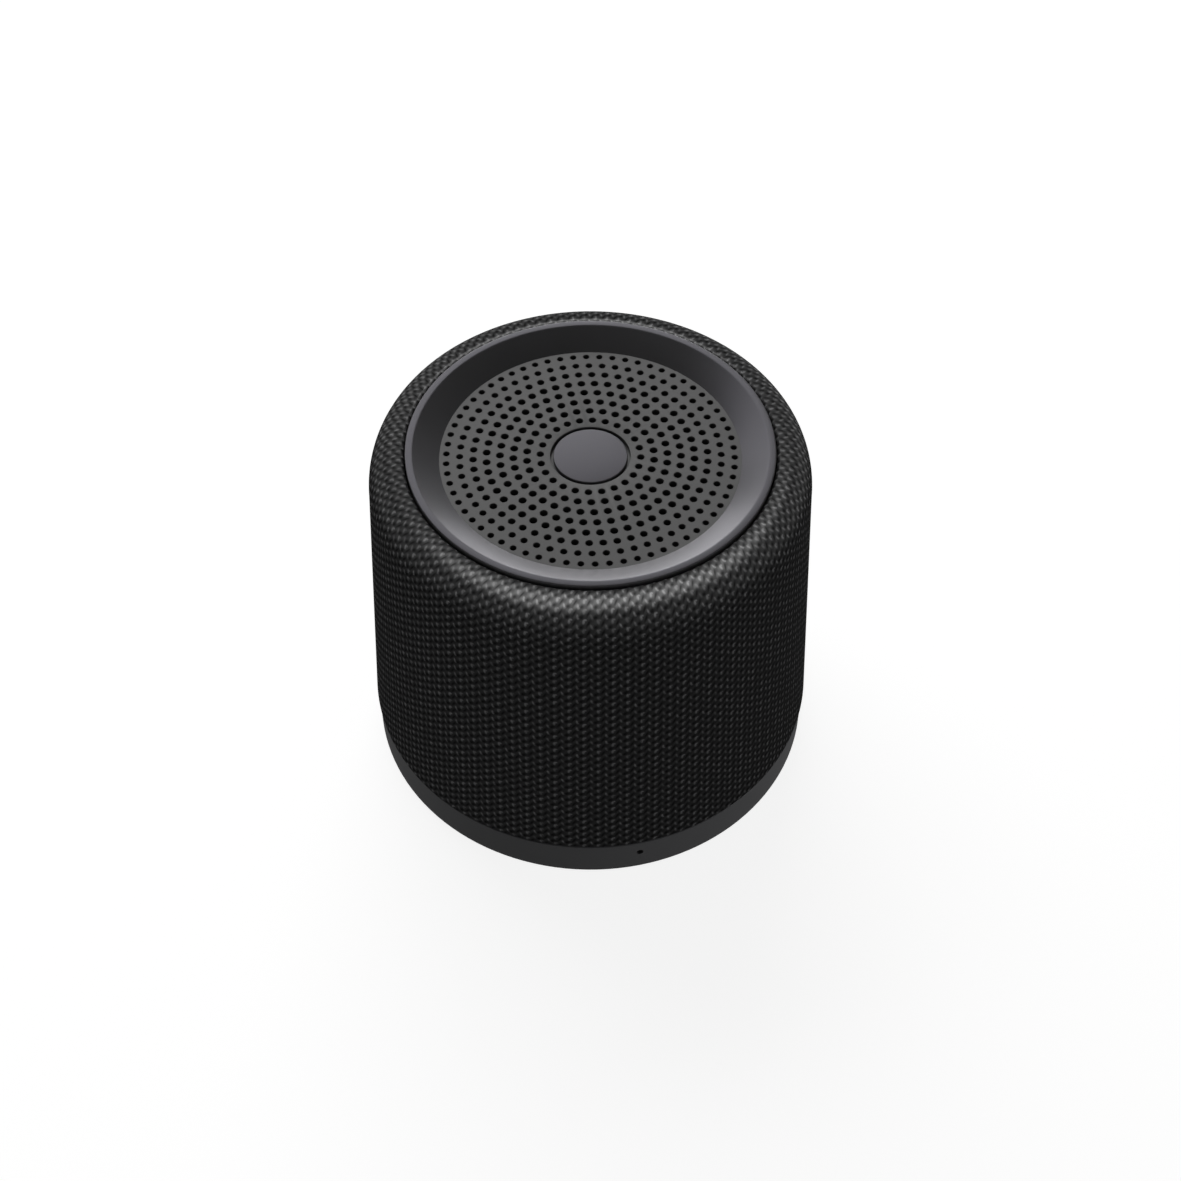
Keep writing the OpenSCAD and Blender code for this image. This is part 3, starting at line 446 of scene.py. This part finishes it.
def wound_copper():
    """Lacquered copper wire, wound turn by turn up the former."""
    finish = Finish("coil_winding")
    wire = 0.2 * MM
    crest = 1.0 - 2.0 * abs(finish.part(finish.places(), 2) / wire % 1.0 - 0.5)
    cloud = finish.noise(grain_mm=1.5)
    return finish.surface(
        # Painted light: each turn's crest is painted lighter as a highlight and the groove between turns
        # darker as shade, broken by a random cloud
        base_color=finish.mix((0.30, 0.10, 0.03, 1), (0.60, 0.24, 0.09, 1), crest * (0.6 + 0.4 * cloud)),
        roughness=0.35,
        metallic=1.0,
        normal=finish.bump(crest, depth_mm=0.06))


def ferrite_ceramic():
    """Grainy dark ceramic of the magnet."""
    finish = Finish("ferrite_ceramic")
    grain = finish.noise(grain_mm=0.3, detail=4.0)
    chips = finish.noise(grain_mm=2.5, detail=5.0)
    return finish.surface(
        base_color=finish.mix(grey(0.018), grey(0.05), grain * chips * 2.0),
        roughness=0.6 + 0.2 * grain,
        normal=finish.bump(grain, depth_mm=0.02))


COOL = (0.985, 0.99, 1.05)
VIOLET_GLOSS = (0.89, 0.86, 1.0, 1.0)
SATIN = dict(roughness=0.34, grain_mm=0.12, relief_mm=0.002)
VINYL = dict(roughness=0.42, grain_mm=0.4, relief_mm=0.004)

FINISHES = {
    "sleeve_fabric": woven_sleeve(),
    "grille_fabric": grille_gauze(),
    "bezel_grey": moulded(
        "bezel_satin", grey(0.054), **SATIN, specular_ior_level=0.62, specular_tint=VIOLET_GLOSS),
    "band_grey": moulded(
        "band_satin", grey(0.03, COOL), roughness=0.5, grain_mm=0.14, relief_mm=0.003,
        specular_ior_level=0.0, coat_weight=0.16, coat_ior=2.0, coat_roughness=0.42),
    "inner_black": moulded("housing_moulding", grey(0.014), roughness=0.55, grain_mm=0.3, relief_mm=0.01),
    "button_grey": moulded(
        "button_moulding", grey(0.022, COOL), roughness=0.45, grain_mm=0.12, relief_mm=0.003,
        specular_ior_level=0.3),
    "rubber_black": rubber("rubber_matt", grey(0.010), roughness=0.75),
    "plated_steel": plated("steel_zinc_plate", (0.62, 0.62, 0.60, 1), roughness=0.32, stretch=(1, 1, 0.2)),
    "basket_paint": moulded("basket_paint", grey(0.03), roughness=0.5, grain_mm=0.25, relief_mm=0.012),
    "ferrite": ferrite_ceramic(),
    "cone_paper": fibrous("cone_paper", grey(0.02), fibre_mm=0.35, relief_mm=0.03),
    "spider_cloth": centring_cloth(),
    "coil_copper": wound_copper(),
    "board_green": circuit_board(),
    "chip_black": moulded("chip_epoxy", grey(0.012), roughness=0.6, grain_mm=0.1, relief_mm=0.006),
    "shield_tin": plated("shield_tin", (0.66, 0.66, 0.64, 1), roughness=0.38, stretch=(1, 0.2, 1)),
    "cap_sleeve": moulded(
        "capacitor_sleeve", (0.015, 0.028, 0.065, 1), roughness=0.35, grain_mm=0.5, relief_mm=0.004),
    "plug_white": moulded("plug_nylon", (0.66, 0.62, 0.52, 1), roughness=0.5, grain_mm=0.3, relief_mm=0.006),
    "lead_red": moulded("lead_red_vinyl", (0.28, 0.012, 0.012, 1), **VINYL),
    "lead_black": moulded("lead_black_vinyl", grey(0.012), **VINYL),
    "cell_wrap": moulded(
        "cell_shrink_wrap", (0.02, 0.07, 0.24, 1), roughness=0.3, grain_mm=1.2, relief_mm=0.02),
}


# ---------------------------------------------------------------- pieces

def as_object(mesh, name):
    """Puts a mesh in metres into the scene."""
    data = bpy.data.meshes.new(name)
    mesh.to_mesh(data)
    mesh.free()
    made = bpy.data.objects.new(name, data)
    bpy.context.scene.collection.objects.link(made)
    return made


def to_metres(mesh):
    bmesh.ops.scale(mesh, vec=(MM, MM, MM), verts=mesh.verts)


def smooth(data, crease):
    """Shades a mesh smooth, with sharp edges from that many degrees on."""
    data.shade_smooth()
    data.set_sharp_from_angle(angle=math.radians(crease))


def piece(mesh, name, slot, body="speaker", stands_for=(), crease=30.0, finish=None):
    """Makes a finished piece of a mesh in millimetres, riding on a body of the frame unless it has none."""
    to_metres(mesh)
    made = as_object(mesh, name)
    smooth(made.data, crease)
    made.data.materials.append(finish or FINISHES[slot])
    if body:
        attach(made, body)
    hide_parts(*stands_for)
    return made


def outline(mesh, corners, closed=True):
    """Draws (radius, height, rounding) corners as a line in the XZ plane and rounds them."""
    verts = [mesh.verts.new((corner[0], 0.0, corner[1])) for corner in corners]
    ends = zip(verts, verts[1:] + verts[:1]) if closed else zip(verts, verts[1:])
    for first, second in ends:
        mesh.edges.new((first, second))
    for rounding in sorted({corner[2] for corner in corners if len(corner) > 2}):
        picked = [v for v, corner in zip(verts, corners) if len(corner) > 2 and corner[2] == rounding]
        bmesh.ops.bevel(
            mesh, geom=picked, offset=rounding, offset_type="OFFSET", segments=CORNER_STEPS, profile=0.5,
            affect="VERTICES", material=-1)


def turn(mesh, steps=TURN_STEPS):
    """Spins the line once round the axis and closes seam and poles."""
    bmesh.ops.spin(
        mesh, geom=mesh.verts[:] + mesh.edges[:], cent=(0, 0, 0), axis=(0, 0, 1), angle=math.tau,
        steps=steps, use_merge=True)
    bmesh.ops.remove_doubles(mesh, verts=mesh.verts, dist=MERGED)
    bmesh.ops.recalc_face_normals(mesh, faces=mesh.faces)


def turned(corners, steps=TURN_STEPS):
    mesh = bmesh.new()
    outline(mesh, corners)
    turn(mesh, steps)
    return mesh


def add_in(mesh, other):
    """Joins another mesh into this one."""
    data = bpy.data.meshes.new("joined")
    other.to_mesh(data)
    other.free()
    mesh.from_mesh(data)
    bpy.data.meshes.remove(data)


def between(first, second, share):
    return first + (second - first) * share


def shares(steps):
    """Even shares from 0 to 1."""
    return [i / steps for i in range(steps + 1)]


def quarter(centre, radii, start, steps):
    """Points of a quarter ellipse in the XZ plane, from start degrees on."""
    angles = [math.radians(start + 90.0 * u) for u in shares(steps)]
    return [(centre[0] + radii[0] * math.cos(a), centre[1] + radii[1] * math.sin(a)) for a in angles]


def make_sleeve():
    """The woven sleeve: hem, wall, shoulder, rolled and tucked edge, laid out in UV by its length."""
    roll_z = SHOULDER_Z + SHOULDER_RISE - TUCK_ROLL
    wall = [(between(HEM_OUT, SHOULDER_R, u), between(HEM_LOW, SHOULDER_Z, u)) for u in shares(WALL_STEPS)]
    # The hem's rounding takes the place of the wall's first step, and the shoulder starts on its last point
    line = [(HEM_R, HEM_LOW), wall[0] + (SLEEVE_T,)] + wall[2:-1]
    line += quarter((CREST_R, SHOULDER_Z), (SHOULDER_RUN, SHOULDER_RISE), 0.0, SHOULDER_STEPS)
    line += quarter((TUCK_R + TUCK_ROLL, roll_z), (TUCK_ROLL, TUCK_ROLL), 90.0, TUCK_STEPS)
    line += [(TUCK_R, (roll_z + TUCK_LOW) / 2), (TUCK_R, TUCK_LOW)]
    mesh = bmesh.new()
    outline(mesh, line, closed=False)
    lay_out_length(mesh)
    turn(mesh)
    lay_out_cloth(mesh)
    made = piece(mesh, "woven_sleeve", "sleeve_fabric", stands_for=["fabric_sleeve"], crease=80.0)
    thick = made.modifiers.new("cloth_thickness", "SOLIDIFY")
    thick.thickness, thick.offset = SLEEVE_T * MM, -1.0


def lay_out_length(mesh):
    """Stores each vertex's share of the line's length from the hem on, with rows crowded on the shoulder."""
    length = mesh.verts.layers.float.new("length")
    mesh.verts.ensure_lookup_table()
    here = next(v for v in mesh.verts if len(v.link_edges) == 1 and v.co.z < SHOULDER_Z)
    run, onward = 0.0, here.link_edges[:]
    while onward:
        edge = onward[0]
        run += edge.calc_length() * (SHOULDER_CROWDING if here.co.z >= SHOULDER_Z else 1.0)
        here = edge.other_vert(here)
        here[length] = run
        onward = [e for e in here.link_edges if e is not edge]
    for vert in mesh.verts:
        vert[length] /= run


def lay_out_cloth(mesh):
    """Unrolls the sleeve into UV: once round it across, and its stored length up."""
    length = mesh.verts.layers.float["length"]
    flat_map = mesh.loops.layers.uv.new("cloth")
    for face in mesh.faces:
        middle = face.calc_center_median()
        heading = math.atan2(-middle.x, middle.y)
        for corner in face.loops:
            off = math.atan2(-corner.vert.co.x, corner.vert.co.y) - heading
            off = (off + math.pi) % math.tau - math.pi
            corner[flat_map].uv = ((heading + off) / math.tau + 0.5, corner.vert[length])


def make_bezel():
    """Dished ring with a rounded lip and skirt, and snap hooks under it."""
    mesh = turned([
        (GRILLE_R, GRILLE_TOP, DISH_FOOT_EDGE), (SEAT_R, GRILLE_TOP), (SEAT_R, GRILLE_LOW),
        (SKIRT_R, GRILLE_LOW), (SKIRT_R, SKIRT_LOW), (LIP_R, SKIRT_LOW),
        (LIP_R, LIP_TOP, LIP_OUTER_EDGE), (DISH_R, LIP_TOP, LIP_INNER_EDGE)])
    for number in range(HOOK_COUNT):
        add_in(mesh, snap_hook(math.tau * (number + 0.5) / HOOK_COUNT))
    piece(mesh, "dished_bezel", "bezel_grey", stands_for=["top_bezel"], crease=35.0)


def snap_hook(heading):
    """One hook of the bezel, rooted in its skirt."""
    outside, root = LIP_R - HOOK_INSET, SKIRT_LOW + HOOK_ROOT
    half = math.asin(HOOK_W / 2 / LIP_R)
    hook = bmesh.new()
    outline(hook, [
        (HOOK_IN, root), (HOOK_IN, HOOK_LOW), (outside, HOOK_LOW), (HOOK_BARB, HOOK_CATCH),
        (outside, HOOK_CATCH), (outside, root)])
    bmesh.ops.rotate(hook, verts=hook.verts, matrix=Matrix.Rotation(heading - half, 3, "Z"))
    bmesh.ops.contextual_create(hook, geom=hook.edges[:])
    bmesh.ops.spin(
        hook, geom=hook.faces[:], cent=(0, 0, 0), axis=(0, 0, 1), angle=2 * half, steps=HOOK_STEPS)
    bmesh.ops.recalc_face_normals(hook, faces=hook.faces)
    return hook


def make_grille():
    """Flat plate with rings of chamfered holes and a recess for the middle disc."""
    mesh = turned([
        (0, GRILLE_LOW), (GRILLE_RIM_R, GRILLE_LOW), (GRILLE_RIM_R, GRILLE_TOP),
        (BADGE_RECESS_R, GRILLE_TOP, RECESS_EDGE), (BADGE_RECESS_R, BADGE_LOW), (0, BADGE_LOW)], PLATE_STEPS)
    made = piece(
        mesh, "pierced_grille", "bezel_grey", stands_for=["grille_plate"],
        finish=moulded("grille_satin", grey(0.05), **SATIN))
    drills = bmesh.new()
    for ring in range(RING_COUNT):
        drill_ring(drills, ring)
    to_metres(drills)
    tool = as_object(drills, "drills")
    cut = made.modifiers.new("holes", "BOOLEAN")
    cut.object, cut.solver, cut.operation = tool, "EXACT", "DIFFERENCE"
    depsgraph = bpy.context.evaluated_depsgraph_get()
    pierced = bpy.data.meshes.new_from_object(made.evaluated_get(depsgraph))
    made.modifiers.clear()
    made.data = pierced
    smooth(pierced, crease=25.0)
    bpy.data.objects.remove(tool)


def drill_ring(drills, ring):
    """One ring of drills through the plate, each flared at its top for the hole's chamfer."""
    radius, count = HOLE_D[ring] / 2, RING_HOLES + ring * RING_MORE_HOLES
    flare, low, high = radius + HOLE_CHAMFER, GRILLE_LOW - DRILL_OVER, GRILLE_TOP + DRILL_OVER
    drill = bmesh.new()
    outline(drill, [
        (0, low), (radius, low), (radius, GRILLE_TOP - HOLE_CHAMFER), (flare, GRILLE_TOP), (flare, high),
        (0, high)], closed=False)
    turn(drill, DRILL_STEPS)
    bmesh.ops.translate(drill, verts=drill.verts, vec=(0, -RING_R - ring * RING_STEP, 0))
    bmesh.ops.spin(
        drill, geom=drill.verts[:] + drill.edges[:] + drill.faces[:], cent=(0, 0, 0), axis=(0, 0, 1),
        angle=math.tau * (count - 1) / count, steps=count - 1, use_duplicate=True)
    add_in(drills, drill)


def make_badge():
    """The bare disc in the middle of the grille."""
    mesh = turned(
        [(0, BADGE_LOW), (BADGE_R, BADGE_LOW), (BADGE_R, GRILLE_TOP, BADGE_EDGE), (0, GRILLE_TOP)],
        PLATE_STEPS)
    piece(mesh, "plain_badge", "bezel_grey", stands_for=["badge_disc"])


def make_gauze():
    """The disc of acoustic cloth behind the holes."""
    top = CLOTH_LOW + CLOTH_T
    mesh = turned([(0, CLOTH_LOW), (CLOTH_R, CLOTH_LOW), (CLOTH_R, top, CLOTH_EDGE), (0, top)], CLOTH_STEPS)
    made = piece(mesh, "grille_gauze", "grille_fabric", stands_for=["grille_cloth"])
    side = 2 * CLOTH_R * MM
    math.pi * side * side / 4


def thick_line(line, thickness):
    """Corners of a strip that follows a line and stands that thick above it."""
    return line + [(r, z + thickness) for r, z in reversed(line)]


def bend_with_cone(made, held_r, free_r):
    """Holds a ring at one radius and lets it follow the cone at the other.

    A blend runs along a straight line, so the ring lies spread out by radius while its shares are set.
    """
    places = [vert.co.copy() for vert in made.data.vertices]
    for vert in made.data.vertices:
        vert.co = (vert.co.xy.length, 0.0, 0.0)
    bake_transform(made, "speaker", "cone", (held_r * MM, 0.0, 0.0), (free_r * MM, 0.0, 0.0))
    for vert, place in zip(made.data.vertices, places):
        vert.co = place
    made.data.update()


def make_surround():
    """The rubber half roll between the basket's flange and the cone's edge."""
    roll = [(between(ROLL_R, CONE_R, u),
             between(BASKET_TOP, CONE_EDGE, u) - ROLL_DEPTH * math.sin(math.pi * u))
            for u in shares(ROLL_STEPS)]
    mesh = turned(thick_line([(LAND_R, BASKET_TOP)] + roll, ROLL_T))
    made = piece(mesh, "rolled_surround", "rubber_black", body=None, stands_for=["driver_surround"])
    bend_with_cone(made, ROLL_R, CONE_R)


def make_spider():
    """The pressed cloth ring that centres the voice coil."""
    waves = [(between(FORMER_R, SPIDER_WAVE_R, u),
              SPIDER_Z + SPIDER_SWING * (1.0 - math.cos(math.tau * SPIDER_WAVES * u)))
             for u in shares(SPIDER_STEPS)]
    mesh = turned(thick_line(waves + [(SPIDER_R, SPIDER_Z)], SPIDER_T))
    made = piece(mesh, "pressed_spider", "spider_cloth", body=None, stands_for=["spider"])
    bend_with_cone(made, SPIDER_WAVE_R, FORMER_R)
    side = 2 * SPIDER_BLANK_R * MM
    blank = math.pi * (SPIDER_BLANK_R ** 2 - FORMER_R ** 2) * MM ** 2


def block(low, high):
    """A plain box between two corners, to be shaped further."""
    mesh = bmesh.new()
    bmesh.ops.create_cube(mesh, size=1.0)
    bmesh.ops.scale(mesh, vec=Vector(high) - Vector(low), verts=mesh.verts)
    bmesh.ops.translate(mesh, vec=(Vector(low) + Vector(high)) / 2, verts=mesh.verts)
    return mesh


def along_y(edge):
    return abs(edge.verts[0].co.y - edge.verts[1].co.y) > NEARLY


def round_off(mesh, edges, offset, steps):
    bmesh.ops.bevel(
        mesh, geom=edges, offset=offset, offset_type="OFFSET", segments=steps, profile=0.5,
        affect="EDGES", material=-1)


def pill(width, height, back, front, edge=0.0):
    """A pill-shaped block along Y at the ports' height, with its front rim rounded."""
    mesh = block((-width / 2, back, PORT_Z - height / 2), (width / 2, front, PORT_Z + height / 2))
    round_off(mesh, [e for e in mesh.edges if along_y(e)], height / 2 - NEARLY, PILL_STEPS)
    if edge:
        rim = [e for e in mesh.edges if all(v.co.y > front - MERGED for v in e.verts)]
        round_off(mesh, rim, edge, RIM_STEPS)
    return mesh


def raised_sign(strokes):
    """Raised strokes, each (width, height, rise over the middle), on a button's face."""
    mesh = bmesh.new()
    for width, height, rise in strokes:
        middle = PORT_Z + rise
        stroke = block((-width / 2, BUTTON_FACE - SIGN_T, middle - height / 2),
                       (width / 2, BUTTON_FACE + SIGN_T, middle + height / 2))
        round_off(stroke, [e for e in stroke.edges if not along_y(e)], SIGN_EDGE, TRIM_STEPS)
        add_in(mesh, stroke)
    return mesh


def power_ring():
    """The broken ring of the power sign, open at the top."""
    mesh = bmesh.new()
    half, gap = SIGN_W / 2, math.radians(POWER_GAP)
    radius = SIGN_D / 2 - half
    corners = [mesh.verts.new((radius + across, BUTTON_FACE + out, PORT_Z))
               for across, out in ((-half, -SIGN_T), (half, -SIGN_T), (half, SIGN_T), (-half, SIGN_T))]
    section = mesh.faces.new(corners)
    middle = (0, 0, PORT_Z)
    bmesh.ops.rotate(
        mesh, verts=corners, cent=middle, matrix=Matrix.Rotation(-math.pi / 2 - gap, 3, "Y"))
    bmesh.ops.spin(
        mesh, geom=[section], cent=middle, axis=(0, 1, 0), angle=2 * gap - math.tau, steps=POWER_STEPS)
    bmesh.ops.recalc_face_normals(mesh, faces=mesh.faces)
    return mesh


def make_button(name, body, node, heading, *signs):
    """A key cap with a curved face and its sign, on an inner flange and stem."""
    flange_back, flange_middle = BUTTON_BACK - FLANGE_T, BUTTON_BACK - FLANGE_T / 2
    mesh = pill(BUTTON_W, BUTTON_H, flange_middle, BUTTON_FACE, BUTTON_EDGE)
    for cut in range(-BUTTON_CUTS, BUTTON_CUTS + 1):
        bmesh.ops.bisect_plane(
            mesh, geom=mesh.verts[:] + mesh.edges[:] + mesh.faces[:], plane_co=(BUTTON_CUT_STEP * cut, 0, 0),
            plane_no=(1, 0, 0))
    for v in mesh.verts:
        v.co.y += math.sqrt(BUTTON_FACE ** 2 - v.co.x ** 2) - BUTTON_FACE
    add_in(mesh, pill(BUTTON_W + 2 * FLANGE_OVER, BUTTON_H + 2 * FLANGE_OVER, flange_back, BUTTON_BACK))
    add_in(mesh, block((-STEM_W / 2, flange_back - STEM_L, PORT_Z - STEM_H / 2),
                       (STEM_W / 2, flange_middle, PORT_Z + STEM_H / 2)))
    for sign in signs:
        add_in(mesh, sign)
    bmesh.ops.rotate(mesh, verts=mesh.verts, matrix=Matrix.Rotation(math.radians(-heading), 3, "Z"))
    piece(mesh, name, "button_grey", body, [node], crease=40.0)


def make_buttons():
    """Power, volume down and volume up, on the back of the base band."""
    bar = (SIGN_W, SIGN_D / 2, SIGN_D / 4 + SIGN_W / 4)
    dash, post = (SIGN_D, SIGN_W, 0.0), (SIGN_W, SIGN_D, 0.0)
    make_button("power_cap", "power_key", "power_button", POWER_AT, power_ring(), raised_sign([bar]))
    make_button(
        "volume_down_cap", "volume_down_key", "volume_down_button", VOLUME_DOWN_AT, raised_sign([dash]))
    make_button(
        "volume_up_cap", "volume_up_key", "volume_up_button", VOLUME_UP_AT, raised_sign([dash, post]))


def make_contacts():
    """Gold-plated contact strips on both faces of the socket's tongue."""
    mesh = bmesh.new()
    for side in (-1, 1):
        face = PORT_Z + side * TONGUE_T / 2
        for i in range(CONTACT_COUNT):
            x = (i - (CONTACT_COUNT - 1) / 2) * CONTACT_PITCH
            strip = block((x - CONTACT_W / 2, TONGUE_END - CONTACT_L, face - CONTACT_T),
                          (x + CONTACT_W / 2, TONGUE_END - CONTACT_SETBACK, face + CONTACT_T))
            round_off(strip, [e for e in strip.edges if along_y(e)], CONTACT_T / 2, TRIM_STEPS)
            add_in(mesh, strip)
    gold = plated("contact_gold", (0.83, 0.60, 0.24, 1), roughness=0.28, stretch=(1, 0.2, 1), tarnish=0.15)
    piece(mesh, "socket_contacts", "plated_steel", finish=gold)


def dress_solids():
    """Gives every solid that still shows its procedural finish."""
    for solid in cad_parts.values():
        for place in solid.material_slots:
            place.material = FINISHES[place.material.name]


dress_solids()
make_sleeve()
make_bezel()
make_grille()
make_badge()
make_gauze()
make_surround()
make_spider()
make_buttons()
make_contacts()


# ---------------------------------------------------------------- stage

# The photo's camera, in metres, with its lens and sensor in millimetres
CAMERA_TURN, CAMERA_PITCH = math.radians(-12.7), math.radians(49.54)
CAMERA_BACK, CAMERA_HEIGHT = 0.2403, 0.3142
CAMERA_LENS, CAMERA_SENSOR = 60.3, 36.0
RIGHT = Vector((math.cos(CAMERA_TURN), math.sin(CAMERA_TURN), 0))
AWAY = Vector((-math.sin(CAMERA_TURN), math.cos(CAMERA_TURN), 0))
UP = Vector((0, 0, 1))

# Soft boxes: place (right, away, up) as the camera sees it, (width, height), watts,
# and the one piece that the light is kept on (INCLUDE) or off (EXCLUDE)
LIGHTS = [
    ("back_box", (-0.35, 1.0, 0.95), (1.4, 1.0), 9.5, "woven_sleeve", "EXCLUDE"),
    ("back_strip", (-0.045, 1.0, 0.16), (0.64, 0.3), 3.6, "woven_sleeve", "EXCLUDE"),
    ("cloth_box", (0.03, -0.06, 1.0), (1.6, 1.1), 24.0, "woven_sleeve", "INCLUDE"),
    ("cloth_side", (-0.5, 1.0, 0.7), (0.6, 0.6), 1.2, "woven_sleeve", "INCLUDE"),
    ("band_strip", (0.7, -0.25, 0.08), (0.3, 0.1), 2.2, "base_band", "INCLUDE"),
]
LIGHTS_AIM = Vector((0, 0, 0.05))
FLOOR_HALF, FLOOR_DROP, FLOOR_GREY, FLOOR_GLOW = 60.0, 0.1 * MM, 0.35, 0.86
WALL_STOPS = [(0.0, 0.96), (0.1, 0.72), (0.4, 0.15), (0.8, 0.05)]


def make_camera():
    data = bpy.data.cameras.new("camera")
    data.lens, data.sensor_width = CAMERA_LENS, CAMERA_SENSOR
    data.clip_start, data.clip_end = 0.01, 20.0
    camera = bpy.data.objects.new("camera", data)
    camera.location = UP * CAMERA_HEIGHT - AWAY * CAMERA_BACK
    camera.rotation_euler = (math.pi / 2 - CAMERA_PITCH, 0, CAMERA_TURN)
    bpy.context.scene.collection.objects.link(camera)
    bpy.context.scene.camera = camera


def soft_light(name, place, size, watts):
    """A soft box aimed at the object."""
    data = bpy.data.lights.new(name, "AREA")
    data.shape, data.size, data.size_y, data.energy = "RECTANGLE", size[0], size[1], watts
    light = bpy.data.objects.new(name, data)
    light.location = RIGHT * place[0] + AWAY * place[1] + UP * place[2]
    light.rotation_euler = (LIGHTS_AIM - light.location).to_track_quat("-Z", "Y").to_euler()
    bpy.context.scene.collection.objects.link(light)
    return light


def flag(light, target, state):
    """Keeps a lamp's light on one piece or off it, as a studio flag does."""
    lit = bpy.data.collections.new(light.name + "_flag")
    lit.objects.link(target)
    lit.collection_objects[0].light_linking.link_state = state
    light.light_linking.receiver_collection = lit


def is_seen(finish):
    """1 for rays that show the stage: straight, mirrored or through glass."""
    straight, mirrored, through = (
        finish.node("ShaderNodeLightPath", output=kind)
        for kind in ("Is Camera Ray", "Is Glossy Ray", "Is Transmission Ray"))
    return straight.most(mirrored).most(through)


def make_floor():
    """A pale floor that shows white and keeps the object's shadow."""
    mesh = bmesh.new()
    bmesh.ops.create_grid(mesh, x_segments=1, y_segments=1, size=FLOOR_HALF)
    bmesh.ops.translate(mesh, vec=(0, 0, -FLOOR_DROP), verts=mesh.verts)
    floor = as_object(mesh, "floor")
    floor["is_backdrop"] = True
    finish = Finish("pale_floor")
    glow = finish.mix(grey(0.0), grey(FLOOR_GLOW), is_seen(finish))
    floor.data.materials.append(finish.surface(
        base_color=grey(FLOOR_GREY), roughness=0.9, specular_ior_level=0.0, emission_color=glow,
        emission_strength=1.0))


def make_world():
    """Studio walls that are pale at the horizon and dim overhead."""
    world = bpy.data.worlds.new("studio")
    world.use_nodes = True
    bpy.context.scene.world = world
    studio = Nodes(world.node_tree)
    height = studio.part(studio.places("Generated"), 2)
    wall = studio.node("ShaderNodeValToRGB", {"stops": WALL_STOPS}, {0: height})
    backdrop = studio.tree.nodes["Background"]
    studio.feed(backdrop.inputs["Color"], wall)
    studio.feed(backdrop.inputs["Strength"], 1.0)


make_camera()
make_floor()
make_world()
for name, place, size, watts, target, state in LIGHTS:
    flag(soft_light(name, place, size, watts), bpy.data.objects[target], state)

bpy.context.scene.view_settings.view_transform = "Standard"
{"cad": [list(c) for c in cad_box], "visual": [list(c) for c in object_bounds()]}
